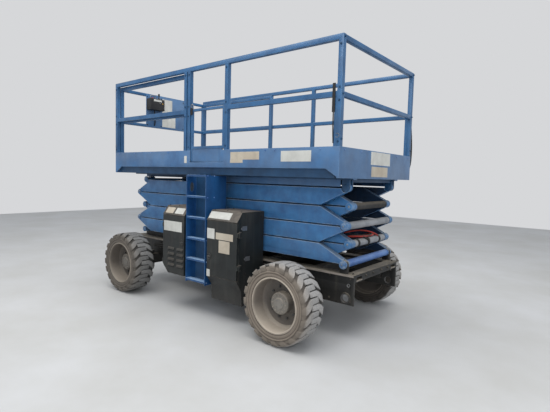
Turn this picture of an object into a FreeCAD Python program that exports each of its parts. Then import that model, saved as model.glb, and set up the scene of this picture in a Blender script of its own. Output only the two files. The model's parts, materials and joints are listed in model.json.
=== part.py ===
import FreeCAD, Part
import Sketcher
import math
import os
import re

# Large rough-terrain scissor lift, folded down. Millimetres, +Z up, floor at Z = 0.
# +X is the end with the fixed scissor pins, -X is the steered end with the roll-out deck.
# -Y is the side with the ladder.

doc = FreeCAD.newDocument("scissor_lift")
sheet = doc.addObject("Spreadsheet::Sheet", "Sizes")

# alias, size in mm (angles in degrees), what it is
SIZES = [
    ("wheelbase", 2840, "between the axles"),
    ("width_over_tyres", 2310, "outside of tyre to outside of tyre"),
    ("tyre_diameter", 840, "out to the tips of the lugs"),
    ("tyre_width", 320, "across the tread"),
    ("lug_height", 22, "lug tips above the gaps between the lugs"),
    ("lug_bar", 48, "middle of a lug round the tyre"),
    ("lug_end", 80, "outer end of a lug round the tyre"),
    ("lug_sweep", 81, "how far a lug's outer end lies back from its middle"),
    ("lug_cross", 55, "how far a lug reaches over the middle and, on its own side, before it turns"),
    ("lug_slope", 24, "width of the slope on a lug's shoulder"),
    ("rim_diameter", 580, "bead seat of the rim"),
    ("rim_wall", 13, "rim barrel"),
    ("disc_set_back", 45, "wheel disc behind the wheel's middle plane"),
    ("disc_wall", 16, "wheel disc"),
    ("wheel_hub_radius", 115, "planetary hub"),
    ("spindle_radius", 40, "stub that carries a wheel"),
    ("running_gap", 0.1, "shaft to bore, on the radius"),
    ("seat_gap", 0.3, "loose seat"),
    ("pad_gap", 0.5, "roller to track"),
    ("moving_gap", 6, "between pieces that pass each other"),
    ("end_overhang", 570, "axle to the end of the chassis"),
    ("chassis_length", "=wheelbase + 2 * end_overhang", "end plate to end plate"),
    ("chassis_half_width", 540, "outside of the side rails"),
    ("chassis_top", 720, "top of the flanges"),
    ("rail_bottom", 490, "underside of the side rails"),
    ("rail_wall", 80, "width of a side rail"),
    ("flange_wall", 20, "flange on a side rail"),
    ("rail_set_back", 170, "side rails short of the ends of the chassis"),
    ("apron_bottom", 400, "underside of the deep side plates"),
    ("axle_section", 140, "square axle beam"),
    ("kingpin_radius", 22, "steering pivot pin"),
    ("kingpin_inset", 235, "kingpin inboard of the wheel's middle plane"),
    ("steer_arm_reach", 160, "tie rod behind the kingpins"),
    ("tie_rod_radius", 16, "tie rod"),
    ("arm_shortfall", 290, "scissor arm to the chassis"),
    ("arm_length", "=chassis_length - arm_shortfall", "pin to pin along a scissor arm"),
    ("fold_pitch", 200, "height of one folded stage"),
    ("arm_gap", 14, "between stacked arms"),
    ("arm_width", 75, "arm tube across"),
    ("outer_arm_face", 560, "outside of the outer arms from the middle"),
    ("inner_arm_face", 450, "outside of the inner arms from the middle"),
    ("corner_cut", 300, "length of the slanted free corner of an arm"),
    ("ear_wall", 18, "fork ear of an arm"),
    ("ear_side_gap", 3, "fork ear to tongue"),
    ("lug_radius", 45, "round end of an ear or tongue"),
    ("lug_room", 7, "room around a lug in the facing arm"),
    ("end_pin_radius", 22, "pin at the end of an arm"),
    ("centre_pin_radius", 30, "pin where two arms cross"),
    ("cross_tube_radius", 40, "tube that joins a pair of arms"),
    ("pin_head", 8, "thickness of a pin's head"),
    ("pin_set_back", 130, "fixed pins from the end of the chassis"),
    ("fixed_pin_place", "=chassis_length / 2 - pin_set_back", "fixed pins from the middle, towards +X"),
    ("pin_rise", 95, "lowest pins above the chassis"),
    ("bottom_pin_height", "=chassis_top + pin_rise", "lowest pins above the floor"),
    ("roller_radius", 45, "slide roller"),
    ("roller_width", 65, "slide roller"),
    ("slide_travel", 1560, "how far a roller runs along its track"),
    ("ram_foot_place", 1200, "barrel pin from the arm's middle"),
    ("ram_foot_drop", 30, "barrel pin under the arm's middle line"),
    ("ram_head_place", 900, "rod pin from the arm's middle"),
    ("ram_head_drop", 60, "rod pin under the arm's middle line"),
    ("barrel_radius", 70, "lift cylinder"),
    ("barrel_length", 1640, "lift cylinder from its pin"),
    ("ram_rod_radius", 40, "lift cylinder rod"),
    ("ram_pin_radius", 25, "pins of the lift cylinder"),
    ("ram_eye_radius", 48, "eyes of the lift cylinder"),
    ("ram_eye_width", 68, "eyes of the lift cylinder"),
    ("ram_ear_wall", 16, "ears that hold the lift cylinder"),
    ("bridge_radius", 36, "tube that carries the ears"),
    ("bridge_reach", 115, "ear pin to tube"),
    ("platform_shortfall", 50, "platform to the chassis"),
    ("platform_length", "=chassis_length - platform_shortfall", "outside of the fascias"),
    ("platform_width", 1780, "outside of the fascias"),
    ("deck_rise", 245, "top of the platform floor above the top pins"),
    ("floor_height", "=bottom_pin_height + 4 * fold_pitch + deck_rise", "top of the platform floor"),
    ("floor_wall", 20, "floor plate"),
    ("toe_height", 150, "fascia above the floor"),
    ("fascia_wall", 50, "side channel, and the posts on it"),
    ("fascia_drop", 60, "side fascia below the floor"),
    ("skirt_drop", 150, "end fascia and skirts below the floor"),
    ("end_wall", 25, "end fascia"),
    ("guard_height", 1185, "guard rails above the floor"),
    ("rail_top", "=floor_height + guard_height", "top of the guard rails"),
    ("rail_height", 50, "guard rail tube"),
    ("mid_guard_height", 640, "middle of the mid rails above the floor"),
    ("mid_rail_height", "=floor_height + mid_guard_height", "middle of the mid rails"),
    ("gate_left", -210, "gate opening"),
    ("gate_right", 410, "gate opening"),
    ("gate_wall", 30, "gate tube"),
    ("gate_axis_gap", 26, "gate hinge from its post"),
    ("extension_length", 1690, "roll-out deck"),
    ("extension_plate", 16, "roll-out deck plate"),
    ("extension_tube", 45, "posts and rails of the roll-out deck"),
    ("side_gap", 10, "roll-out deck rails to the main rails"),
    ("box_front", 1050, "front of the side boxes from the middle"),
    ("box_back", 600, "back of the side boxes from the middle"),
    ("box_top", 1300, "top of the side boxes"),
    ("box_wall", 20, "wall of a side box"),
    ("front_box_left", -530, "end walls of the side boxes"),
    ("front_box_right", -100, "end walls of the side boxes"),
    ("rear_box_left", 320, "end walls of the side boxes"),
    ("rear_box_right", 810, "end walls of the side boxes"),
    ("front_box_low", 430, "undersides of the side boxes"),
    ("rear_box_low", 230, "undersides of the side boxes"),
    ("engine_box_low", 300, "undersides of the side boxes"),
    ("corner_chamfer", 108, "cut lower corner of the near front box"),
    ("taper_top", 530, "height where the near rear box starts to taper in"),
    ("taper_knee", 410, "height of the knee in that taper"),
    ("taper_depth", 80, "how far it tapers in"),
    ("box_slope", 80, "depth of the slanted top edge"),
    ("box_slope_drop", 110, "height of the slanted top edge"),
    ("door_wall", 25, "door of a side box"),
    ("door_gap", 5, "door to its box"),
    ("hinge_radius", 10, "hinge knuckle"),
    ("hinge_pin_radius", 5, "hinge pin"),
    ("ladder_front", 1030, "front of the ladder from the middle"),
    ("ladder_back", 870, "back panel of the ladder"),
    ("ladder_left", -90, "outside of the ladder"),
    ("ladder_right", 270, "outside of the ladder"),
    ("ladder_plate", 10, "side plates of the ladder"),
    ("ladder_drop", 160, "ladder's side plates below the floor"),
    ("ladder_top", "=floor_height - ladder_drop", "top of the ladder's side plates"),
    ("lowest_rung", 400, "underside of the first rung"),
    ("rung_pitch", 257, "rung to rung"),
    ("rung_depth", 80, "rung front to back"),
    ("rung_wall", 22, "rung thickness"),
]
ALIASES = {alias for alias, value, note in SIZES}
for row, (alias, value, note) in enumerate(SIZES, start=1):
    sheet.set(f"A{row}", alias)
    sheet.set(f"B{row}", str(value))
    sheet.set(f"C{row}", note)
    sheet.setAlias(f"B{row}", alias)
doc.recompute()

V = FreeCAD.Vector
TURN = {"X": FreeCAD.Rotation(V(0, 1, 0), 90), "Y": FreeCAD.Rotation(V(1, 0, 0), -90),
        "Z": FreeCAD.Rotation()}
UNIT = {"X": V(1, 0, 0), "Y": V(0, 1, 0), "Z": V(0, 0, 1)}
FACING = {"X": FreeCAD.Rotation(V(1, 1, 1), 120), "Y": FreeCAD.Rotation(V(1, 0, 0), 90),
          "Z": FreeCAD.Rotation()}


def bind(thing, prop, text):
    words = re.sub(r"[a-z_]+", lambda m: "Sizes." + m[0] if m[0] in ALIASES else m[0], str(text))
    thing.setExpression(prop, words)


def place(thing, x, y, z):
    for axis, text in zip("xyz", (x, y, z)):
        bind(thing, f"Placement.Base.{axis}", text)


def block(name, x, y, z):
    """A box between two values on each axis."""
    thing = doc.addObject("Part::Box", name)
    for prop, (low, high) in zip(("Length", "Width", "Height"), (x, y, z)):
        bind(thing, prop, f"({high}) - ({low})")
    place(thing, x[0], y[0], z[0])
    return thing


def bar(name, axis, centre, low, high, radius):
    """A round bar along an axis, from low to high, with its centre on the two other axes."""
    thing = doc.addObject("Part::Cylinder", name)
    thing.Placement = FreeCAD.Placement(V(), TURN[axis])
    bind(thing, "Radius", radius)
    bind(thing, "Height", f"({high}) - ({low})")
    where = list(centre)
    where.insert("XYZ".index(axis), low)
    place(thing, *where)
    return thing


def outline(name, points):
    """A closed sketch of straight lines whose corners are held by bound distances."""
    sketch = doc.addObject("Sketcher::SketchObject", name)
    count = len(points)
    spots = [V(math.cos(2 * math.pi * i / count), math.sin(2 * math.pi * i / count), 0) * 100
             for i in range(count)]
    for i in range(count):
        sketch.addGeometry(Part.LineSegment(spots[i], spots[(i + 1) % count]), False)
    for i in range(count):
        sketch.addConstraint(Sketcher.Constraint("Coincident", i, 2, (i + 1) % count, 1))
    for i, corner in enumerate(points):
        for kind, start, text in zip(("DistanceX", "DistanceY"), spots[i], corner):
            held = sketch.addConstraint(Sketcher.Constraint(kind, -1, 1, i, 1, start))
            bind(sketch, f"Constraints[{held}]", text)
    return sketch


def prism(name, axis, points, low, high):
    """An outline pushed along an axis; its corners are (Y, Z), (X, Z) or (X, Y) values."""
    sketch = outline(name + "_sketch", points)
    sketch.Placement = FreeCAD.Placement(V(), FACING[axis])
    bind(sketch, f"Placement.Base.{axis.lower()}", low)
    thing = doc.addObject("Part::Extrusion", name)
    thing.Base = sketch
    thing.DirMode = "Custom"
    thing.Dir = UNIT[axis]
    thing.Solid = True
    bind(thing, "LengthFwd", f"({high}) - ({low})")
    return thing


def turned(name, points):
    """A ring or disc turned about the Y axis; its corners are (radius, Y) values."""
    thing = doc.addObject("Part::Revolution", name)
    thing.Source = outline(name + "_sketch", points)
    thing.Axis = V(0, 1, 0)
    thing.Solid = True
    return thing


def fuse(name, parts):
    thing = doc.addObject("Part::MultiFuse", name)
    thing.Shapes = parts
    thing.Refine = True
    return thing


def cut(name, base, tools):
    thing = doc.addObject("Part::Cut", name)
    thing.Base = base
    thing.Tool = tools[0] if len(tools) == 1 else fuse(name + "_tools", tools)
    thing.Refine = True
    return thing


def mirrored(name, source, normal=V(0, 1, 0)):
    thing = doc.addObject("Part::Mirroring", name)
    thing.Source = source
    thing.Normal = normal
    return thing


def both(name, source):
    """A piece and its mirror image across the middle, as one list."""
    return [source, mirrored(name + "_other_side", source)]


def group(name, parts):
    thing = doc.addObject("Part::Compound", name)
    thing.Links = parts
    return thing


nodes = {}


def node(label, thing):
    thing.Label = label
    nodes[label] = thing
    return thing


# Wheels: tyre and rim at each corner, and what carries them
half_base = "wheelbase / 2"
wheel_plane = "(width_over_tyres / 2 - tyre_width / 2)"
wheel_height = "tyre_diameter / 2"
kingpin_plane = f"({wheel_plane} - kingpin_inset)"
disc_back = f"({wheel_plane} - disc_set_back)"
half_tyre = "tyre_width / 2"
half_axle = "axle_section / 2"
crown = "(tyre_diameter / 2)"
bead = "(rim_diameter / 2)"

# Tyre: a flat-faced ring, and rows of angled lugs that mesh across its middle, their tips on the tread's radius
LUGS = 20
facet = 180 / LUGS
crown_flat = f"sqrt({crown}^2 - (lug_sweep / 2 + lug_bar / 2)^2)"


def ring_of_flats(name, radius, low, high):
    """A bar along Y with one flat face for each lug."""
    thing = doc.addObject("Part::Prism", name)
    thing.Polygon = LUGS
    bind(thing, "Circumradius", radius)
    bind(thing, "Height", f"({high}) - ({low})")
    thing.Placement = FreeCAD.Placement(V(), FreeCAD.Rotation(V(0, 1, 0), facet) * TURN["Y"])
    place(thing, "0", low, "0")
    return thing


lugs = []
for row, side in enumerate((1, -1)):
    edge = f"{side} * {half_tyre}"
    raw = prism(f"lug_bar_{row}", "X", [
        (f"-{side} * lug_cross", "lug_sweep / 2 - lug_bar / 2"),
        (f"{side} * (lug_cross - 5)", "lug_sweep / 2 - lug_bar / 2"),
        (edge, "-lug_sweep / 2 - lug_bar / 2"), (edge, "lug_end - lug_sweep / 2 - lug_bar / 2"),
        (f"{side} * (lug_cross + 5)", "lug_sweep / 2 + lug_bar / 2"),
        (f"-{side} * lug_cross", "lug_sweep / 2 + lug_bar / 2")], f"{crown} - 2 * lug_height", crown_flat)
    slope = prism(f"lug_slope_{row}", "Z", [
        (f"{crown_flat} - lug_slope", edge), (f"{crown_flat} - lug_slope", f"{edge} + {side} * 5"),
        (f"{crown_flat} + 5", f"{edge} + {side} * 5"), (f"{crown_flat} + 5", f"{edge} - {side} * lug_slope"),
        (crown_flat, f"{edge} - {side} * lug_slope")], "-lug_sweep", "lug_sweep + lug_bar")
    lug = cut(f"lug_{row}", raw, [slope])
    for i in range(LUGS):
        copy = group(f"lug_{row}_{i}", [lug])
        copy.Placement = FreeCAD.Placement(V(), FreeCAD.Rotation(V(0, 1, 0), (2 * i + row) * facet))
        lugs.append(copy)
carcass = ring_of_flats("tyre_carcass", f"{crown} - lug_height", f"-{half_tyre}", half_tyre)
bore = ring_of_flats("tyre_bore", f"{bead} / cos({facet})", f"-{half_tyre} - 5", f"{half_tyre} + 5")
ring = cut("tyre_body", fuse("tyre_solid", [carcass] + lugs), [bore])

corners = [("front_near", -1, -1), ("front_far", -1, 1), ("rear_near", 1, -1), ("rear_far", 1, 1)]
for corner, end, side in corners:
    middle = (f"{end} * {half_base}", f"{side} * {wheel_plane}", wheel_height)
    tyre = group(corner + "_tyre_ring", [ring])
    place(tyre, *middle)
    node(corner + "_tyre", tyre)
    hub_face = "60"
    rim = turned(corner + "_rim_disc", [(radius, f"{side} * ({out})") for radius, out in [
        ("0", "25"), ("spindle_radius + running_gap", "25"),
        ("spindle_radius + running_gap", "-disc_set_back"),
        (f"{bead} - rim_wall", "-disc_set_back"), (f"{bead} - rim_wall", f"20 - {half_tyre}"),
        (f"{bead} - seat_gap", f"14 - {half_tyre}"), (f"{bead} - seat_gap", f"{half_tyre} - 14"),
        (f"{bead} - 16", f"{half_tyre} - 8"), (f"{bead} - 24", f"{half_tyre} - 36"),
        (f"{bead} - rim_wall - 14", "-disc_set_back + disc_wall + 30"),
        (f"{bead} - rim_wall - 40", "-disc_set_back + disc_wall"),
        ("wheel_hub_radius", "-disc_set_back + disc_wall"), ("wheel_hub_radius", f"{hub_face} - 20"),
        ("wheel_hub_radius - 10", f"{hub_face} - 10"), ("60", f"{hub_face} - 10"),
        ("54", hub_face), ("0", hub_face)]])
    place(rim, *middle)
    node(corner + "_rim", rim)

# Rear axle: beam, final drives and stubs
rear_x = half_base
beam = block("rear_beam", (f"{rear_x} - {half_axle}", f"{rear_x} + {half_axle}"),
             (f"-{kingpin_plane}", kingpin_plane),
             (f"{wheel_height} - {half_axle}", f"{wheel_height} + {half_axle}"))
drum = bar("rear_drum", "Y", (rear_x, wheel_height), f"{kingpin_plane} - 40", f"{disc_back} - pad_gap", 90)
stub = bar("rear_stub", "Y", (rear_x, wheel_height), f"{disc_back} - 2", f"{disc_back} + 60",
           "spindle_radius")
housing = bar("rear_housing", "Y", (rear_x, wheel_height), "-150", "150", 135)
node("rear_axle", fuse("rear_axle_body", [beam, housing] + both("rear_drum", drum) + both("rear_stub", stub)))

# Front axle: beam with yokes, kingpins and the fixed body of the steering cylinder
front_x = f"(-{half_base})"
yoke_inner = f"({kingpin_plane} - 120)"
yoke_outer = f"({kingpin_plane} + 42)"
yoke_gap = "100"
beam = block("front_beam", (f"{front_x} - {half_axle}", f"{front_x} + {half_axle}"),
             (f"-{yoke_inner}", yoke_inner),
             (f"{wheel_height} - {half_axle}", f"{wheel_height} + {half_axle}"))
cheek = block("yoke_cheek", (f"{front_x} - 60", f"{front_x} + 60"), (f"{yoke_inner} - 40", yoke_inner),
              (f"{wheel_height} - {yoke_gap} - 30", f"{wheel_height} + {yoke_gap} + 30"))
plates = []
for name, low, high in [("lower", f"-{yoke_gap} - 30", f"-{yoke_gap}"), ("upper", yoke_gap, f"{yoke_gap} + 30")]:
    span = (f"{wheel_height} + {low}", f"{wheel_height} + {high}")
    plates.append(block(name + "_yoke", (f"{front_x} - 60", f"{front_x} + 60"),
                        (f"{yoke_inner} - 40", kingpin_plane), span))
    plates.append(bar(name + "_yoke_end", "Z", (front_x, kingpin_plane), *span, 60))
kingpin = bar("kingpin", "Z", (front_x, kingpin_plane), f"{wheel_height} - {yoke_gap} - 38",
              f"{wheel_height} + {yoke_gap} + 38", "kingpin_radius")
yokes = []
for piece in [cheek, kingpin] + plates:
    yokes += both(piece.Name, piece)
rod_x = f"({front_x} - steer_arm_reach)"
rod_z = f"({wheel_height} + 24)"
steer_body = bar("steer_cylinder_body", "Y", (rod_x, rod_z), "-210", "210", 36)
steer_feet = [block(f"steer_foot_{i}", (rod_x, f"{front_x} - {half_axle} + 5"), (low, f"({low}) + 30"),
                    (f"{wheel_height} - 30", f"{wheel_height} + 45")) for i, low in enumerate(("-190", "160"))]
front_housing = bar("front_housing", "Y", (front_x, wheel_height), "-150", "150", 125)
solid = fuse("front_axle_solid", [beam, front_housing, steer_body] + steer_feet + yokes)
steer_bore = bar("steer_bore", "Y", (rod_x, rod_z), "-230", "230", "tie_rod_radius + running_gap")
node("front_axle", cut("front_axle_body", solid, [steer_bore]))

# Steering knuckles
for side, name in ((-1, "near"), (1, "far")):
    def reach(low, high, side=side):
        return (f"-({high})", f"-({low})") if side < 0 else (low, high)
    king_y = f"{side} * {kingpin_plane}"
    body = block(name + "_knuckle_block", (f"{front_x} - 70", f"{front_x} + 70"),
                 reach(f"{kingpin_plane} - 60", f"{kingpin_plane} + 100"),
                 (f"{wheel_height} - {yoke_gap} + moving_gap", f"{wheel_height} + {yoke_gap} - moving_gap"))
    drum = bar(name + "_knuckle_drum", "Y", (front_x, wheel_height),
               *reach(f"{kingpin_plane} + 90", f"{disc_back} - pad_gap"), 88)
    stub = bar(name + "_knuckle_stub", "Y", (front_x, wheel_height),
               *reach(f"{disc_back} - 2", f"{disc_back} + 60"), "spindle_radius")
    arm = block(name + "_steer_arm", (f"{rod_x} - 30", f"{front_x} - 65"),
                reach(f"{kingpin_plane} - 70", f"{kingpin_plane} - 20"),
                (f"{wheel_height} - 22", f"{wheel_height}"))
    king_bore = bar(name + "_king_bore", "Z", (front_x, king_y), f"{wheel_height} - 150",
                    f"{wheel_height} + 150", "kingpin_radius + running_gap")
    node(name + "_knuckle", cut(name + "_knuckle_body",
                                fuse(name + "_knuckle_solid", [body, drum, stub, arm]), [king_bore]))

# Tie rod, sliding through the steering cylinder
eye_y = f"({kingpin_plane} - 45)"
rod = bar("tie_rod_bar", "Y", (rod_x, rod_z), f"-{eye_y}", eye_y, "tie_rod_radius")
eye = bar("tie_rod_eye", "Z", (rod_x, eye_y), f"{wheel_height} + moving_gap", f"{rod_z} + 20", 26)
node("tie_rod", fuse("tie_rod_body", [rod] + both("tie_rod_eye", eye)))

# Chassis: two side rails with flanges, deep side plates, cross-members, end channels, tracks and pin tongues
half_chassis = "(chassis_length / 2)"
half_width = "chassis_half_width"
rail_in = "(chassis_half_width - rail_wall)"
under_flange = "(chassis_top - flange_wall)"
outer_root = "(outer_arm_face - arm_width)"
inner_root = "(inner_arm_face - arm_width)"
tongue_low = f"({outer_root} + ear_wall + ear_side_gap)"
tongue_high = "(outer_arm_face - ear_wall - ear_side_gap)"
pin_x = "fixed_pin_place"
pin_z = "bottom_pin_height"
half_arm = "(sqrt(arm_length ^ 2 - fold_pitch ^ 2) / 2)"
slide_end = f"({pin_x} - 2 * {half_arm})"
track_in = f"({inner_root} - 10 - roller_width - 5)"
track_out = f"({inner_root} - 5)"
track_span = (f"{slide_end} - roller_radius - 50", f"{slide_end} + slide_travel + roller_radius + 50")

pieces = []
for name, x, y, z in [
    ("side_rail", (f"rail_set_back - {half_chassis}", f"{half_chassis} - rail_set_back"), (rail_in, half_width),
     ("rail_bottom", under_flange)),
    ("flange", (f"-{half_chassis}", half_chassis), (f"{rail_in} - 40", f"{half_width} + 20"),
     (under_flange, "chassis_top")),
    ("middle_plate", (f"-0.7 * {half_base}", f"0.7 * {half_base}"), (f"{half_width} - 25", half_width), ("apron_bottom", "rail_bottom")),
    ("rear_plate", (f"{half_base} + axle_section + 30", half_chassis), (f"{half_width} - 20", half_width),
     ("apron_bottom", under_flange)),
    ("front_plate", (f"-{half_chassis}", "-steer_arm_reach - 60 - wheelbase / 2"), (f"{half_width} - 20", half_width),
     ("apron_bottom", under_flange)),
    ("track", track_span, (track_in, track_out), (f"{under_flange} - 20", f"{pin_z} - roller_radius - pad_gap")),
]:
    pieces += both(name, block(name, x, y, z))
for i in range(5):
    middle = f"{i - 2} * wheelbase / 4"
    pieces.append(block(f"cross_member_{i}", (f"{middle} - 50", f"{middle} + 50"),
                        (f"-{rail_in} - 5", f"{rail_in} + 5"), ("rail_bottom + 75", under_flange)))
for end, low, high in (("front", f"-{half_chassis}", f"110 - {half_chassis}"),
                       ("rear", f"{half_chassis} - 110", half_chassis)):
    pieces.append(block(end + "_channel", (low, high), (f"-{half_width}", half_width),
                        (f"{under_flange} - 60", "chassis_top")))
pieces.append(block("belly_plate", (f"-0.66 * {half_base}", f"0.66 * {half_base}"), (f"-{rail_in} - 5", f"{rail_in} + 5"),
                    ("rail_bottom", "rail_bottom + 12")))
tongue_stem = block("tongue_stem", (f"{pin_x} - lug_radius", f"{pin_x} + lug_radius"),
                    (tongue_low, tongue_high), (under_flange, pin_z))
tongue_round = bar("tongue_round", "Y", (pin_x, pin_z), tongue_low, tongue_high, "lug_radius")
pieces += both("tongue_stem", tongue_stem) + both("tongue_round", tongue_round)
ring_x = f"({half_chassis} - 95)"
ring_z = "(apron_bottom + 67)"
for end in (1, -1):
    ring = bar(f"tow_ring_{'rear' if end > 0 else 'front'}", "Y", (f"{end} * {ring_x}", ring_z),
               f"{half_width} - 5", f"{half_width} + 10", 62)
    pieces += both(ring.Name, ring)
solid = fuse("chassis_solid", pieces)
tools = [bar("tongue_bore", "Y", (pin_x, pin_z), "-700", "700", "end_pin_radius + running_gap")]
for end in (1, -1):
    name = "rear" if end > 0 else "front"
    tools.append(bar(name + "_tow_hole", "Y", (f"{end} * {ring_x}", ring_z), "-700", "700", 45))
    tools.append(bar(name + "_small_hole", "Y", (f"{end} * ({half_chassis} - 63)", "chassis_top - 115"), "-700", "700", 12))
    low, high = (f"{half_chassis} - 90", f"{half_chassis} + 5") if end > 0 else (f"-{half_chassis} - 5", f"90 - {half_chassis}")
    slot = block(name + "_slot", (low, high), (f"{half_width} - 170", f"{half_width} - 50"),
                 (f"{under_flange} - 40", f"{under_flange} - 8"))
    tools += both(slot.Name, slot)
node("chassis_frame", cut("chassis_body", solid, tools))

# Scissor arms: four stages, one fork-ended pair (b) and one tongue-ended pair (a) each
half_tube = "((fold_pitch - arm_gap) / 2)"
half_pitch = "(fold_pitch / 2)"
sweep_radius = "(lug_radius + lug_room)"
arm_x = f"({pin_x} - {half_arm})"
ram_ears = ("(ram_eye_width / 2 + ear_side_gap)", "(ram_eye_width / 2 + ear_side_gap + ram_ear_wall)")


def arm_pair(stage, kind):
    fork = kind == "b"
    outer = (stage % 2 == 1) == fork
    label = f"stage{stage}_{'outer' if outer else 'inner'}_arms"
    face = "outer_arm_face" if outer else "inner_arm_face"
    root = f"({face} - arm_width)"
    arm_z = f"({pin_z} + {stage - 0.5} * fold_pitch)"
    way = 1 if fork else -1
    low_pin = (f"({arm_x} + {way} * {half_arm})", f"({arm_z} - {half_pitch})")
    high_pin = (f"({arm_x} - {way} * {half_arm})", f"({arm_z} + {half_pitch})")
    slope_end = "0.7 * lug_radius"
    half_profile = [(half_arm, f"-{half_tube}"), (f"{half_arm} + {slope_end}", f"{slope_end} - {half_pitch}"),
                    (f"{half_arm} - corner_cut", half_tube)]
    profile = [(f"{arm_x} + {way} * ({u})", f"{arm_z} + ({w})") for u, w in half_profile]
    profile += [(f"{arm_x} - {way} * ({u})", f"{arm_z} - ({w})") for u, w in half_profile]
    tube = prism(label + "_tube", "Y", profile, root, face)
    ear_layers = [(root, f"{root} + ear_wall"), (f"{face} - ear_wall", face)]
    tongue_layers = [(f"{root} + ear_wall + ear_side_gap", f"{face} - ear_wall - ear_side_gap")]
    if fork:
        own, cleared = ear_layers, [(f"{root} + ear_wall", f"{face} - ear_wall")]
    else:
        own, cleared = tongue_layers, [(f"{root} - 1", tongue_layers[0][0]), (tongue_layers[0][1], f"{face} + 1")]
    swept, rounds = [], []
    for end, pin in (("low", low_pin), ("high", high_pin)):
        for i, layer in enumerate(cleared):
            swept.append(bar(f"{label}_{end}_room_{i}", "Y", pin, *layer, sweep_radius))
        for i, layer in enumerate(own):
            rounds.append(bar(f"{label}_{end}_lug_{i}", "Y", pin, *layer, "lug_radius"))
    arm = fuse(label + "_arm", [cut(label + "_trimmed", tube, swept)] + rounds)

    last = stage == 4
    bores = []
    if not (fork and last):
        bores.append(bar(label + "_high_bore", "Y", high_pin, f"{root} - 5", f"{face} + 5",
                         "end_pin_radius + running_gap"))
    if fork:
        bores.append(bar(label + "_centre_bore", "Y", (arm_x, arm_z), f"{root} - 5", f"{face} + 5",
                         "centre_pin_radius + running_gap"))
    arm = cut(label + "_bored", arm, bores)
    parts = both(label, arm)

    # Low pins with their heads and the tube between them
    sides = [bar(label + "_low_pin", "Y", low_pin, f"{root} - 4", f"{face} + pin_head", "end_pin_radius"),
             bar(label + "_low_head", "Y", low_pin, f"{face} + {0 if fork else 1}", f"{face} + 1 + pin_head", 33)]
    tube_end = root if fork else f"({root} - ear_side_gap)"
    parts.append(bar(label + "_cross_tube", "Y", low_pin, f"-{tube_end}", tube_end, "cross_tube_radius"))

    # Centre pins, on the tongue-ended arms; they carry the fork-ended ones
    if not fork:
        if outer:
            span = ("inner_arm_face - arm_width - pin_head", f"{root} + 5")
            collar = ("inner_arm_face + 2", f"{root} + 1")
            head = ("inner_arm_face - arm_width - 1 - pin_head", "inner_arm_face - arm_width - 1")
        else:
            span = (f"{face} - 5", "outer_arm_face + pin_head")
            collar = (f"{face} - 1", f"{outer_root} - 2")
            head = ("outer_arm_face + 1", "outer_arm_face + 1 + pin_head")
        sides.append(bar(label + "_centre_pin", "Y", (arm_x, arm_z), *span, "centre_pin_radius"))
        sides.append(bar(label + "_centre_collar", "Y", (arm_x, arm_z), *collar, "centre_pin_radius + 18"))
        sides.append(bar(label + "_centre_head", "Y", (arm_x, arm_z), *head, "centre_pin_radius + 12"))

    # Slide rollers at the moving ends
    slides = low_pin if (stage == 1 and not fork) else high_pin if (last and fork) else None
    if slides:
        sides.append(bar(label + "_roller", "Y", slides, f"{inner_root} - 10 - roller_width",
                         f"{inner_root} - 10", "roller_radius"))
        sides.append(bar(label + "_roller_pin", "Y", slides, f"{inner_root} - 20", f"{face} + pin_head",
                         "end_pin_radius"))
        if fork:
            parts.append(bar(label + "_slide_tube", "Y", slides, f"20 - {inner_root}", f"{inner_root} - 20", 20))

    # Ears that hold a lift cylinder, on stages 1 and 2 and on stages 3 and 4
    if not outer:
        drop = "ram_foot_drop" if not fork else "ram_head_drop"
        ear_x = f"({arm_x} - ram_foot_place)" if not fork else f"({arm_x} + ram_head_place)"
        ear_z = f"({arm_z} - {drop})"
        if fork:
            bridge = (ear_x, f"({ear_z} + bridge_reach)")
            stem = ((f"{ear_x} - ram_eye_radius", f"{ear_x} + ram_eye_radius"), (ear_z, bridge[1]))
        else:
            bridge = (f"({ear_x} - bridge_reach)", ear_z)
            stem = ((bridge[0], ear_x), (f"{ear_z} - ram_eye_radius", f"{ear_z} + ram_eye_radius"))
        parts.append(bar(label + "_bridge", "Y", bridge, f"-{root} - 1", f"{root} + 1", "bridge_radius"))
        sides.append(block(label + "_ear_stem", stem[0], ram_ears, stem[1]))
        sides.append(bar(label + "_ear_round", "Y", (ear_x, ear_z), *ram_ears, "ram_eye_radius"))
        sides.append(bar(label + "_ear_head", "Y", (ear_x, ear_z), f"{ram_ears[1]} - 1", f"{ram_ears[1]} + 10",
                         "ram_pin_radius + 8"))
        if not fork:
            parts.append(bar(label + "_ram_pin", "Y", (ear_x, ear_z), f"-{ram_ears[1]}", ram_ears[1],
                             "ram_pin_radius"))
    for piece in sides:
        parts += both(piece.Name, piece)
    node(label, fuse(label + "_body", parts))


for stage in (1, 2, 3, 4):
    arm_pair(stage, "b")
    arm_pair(stage, "a")

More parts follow.
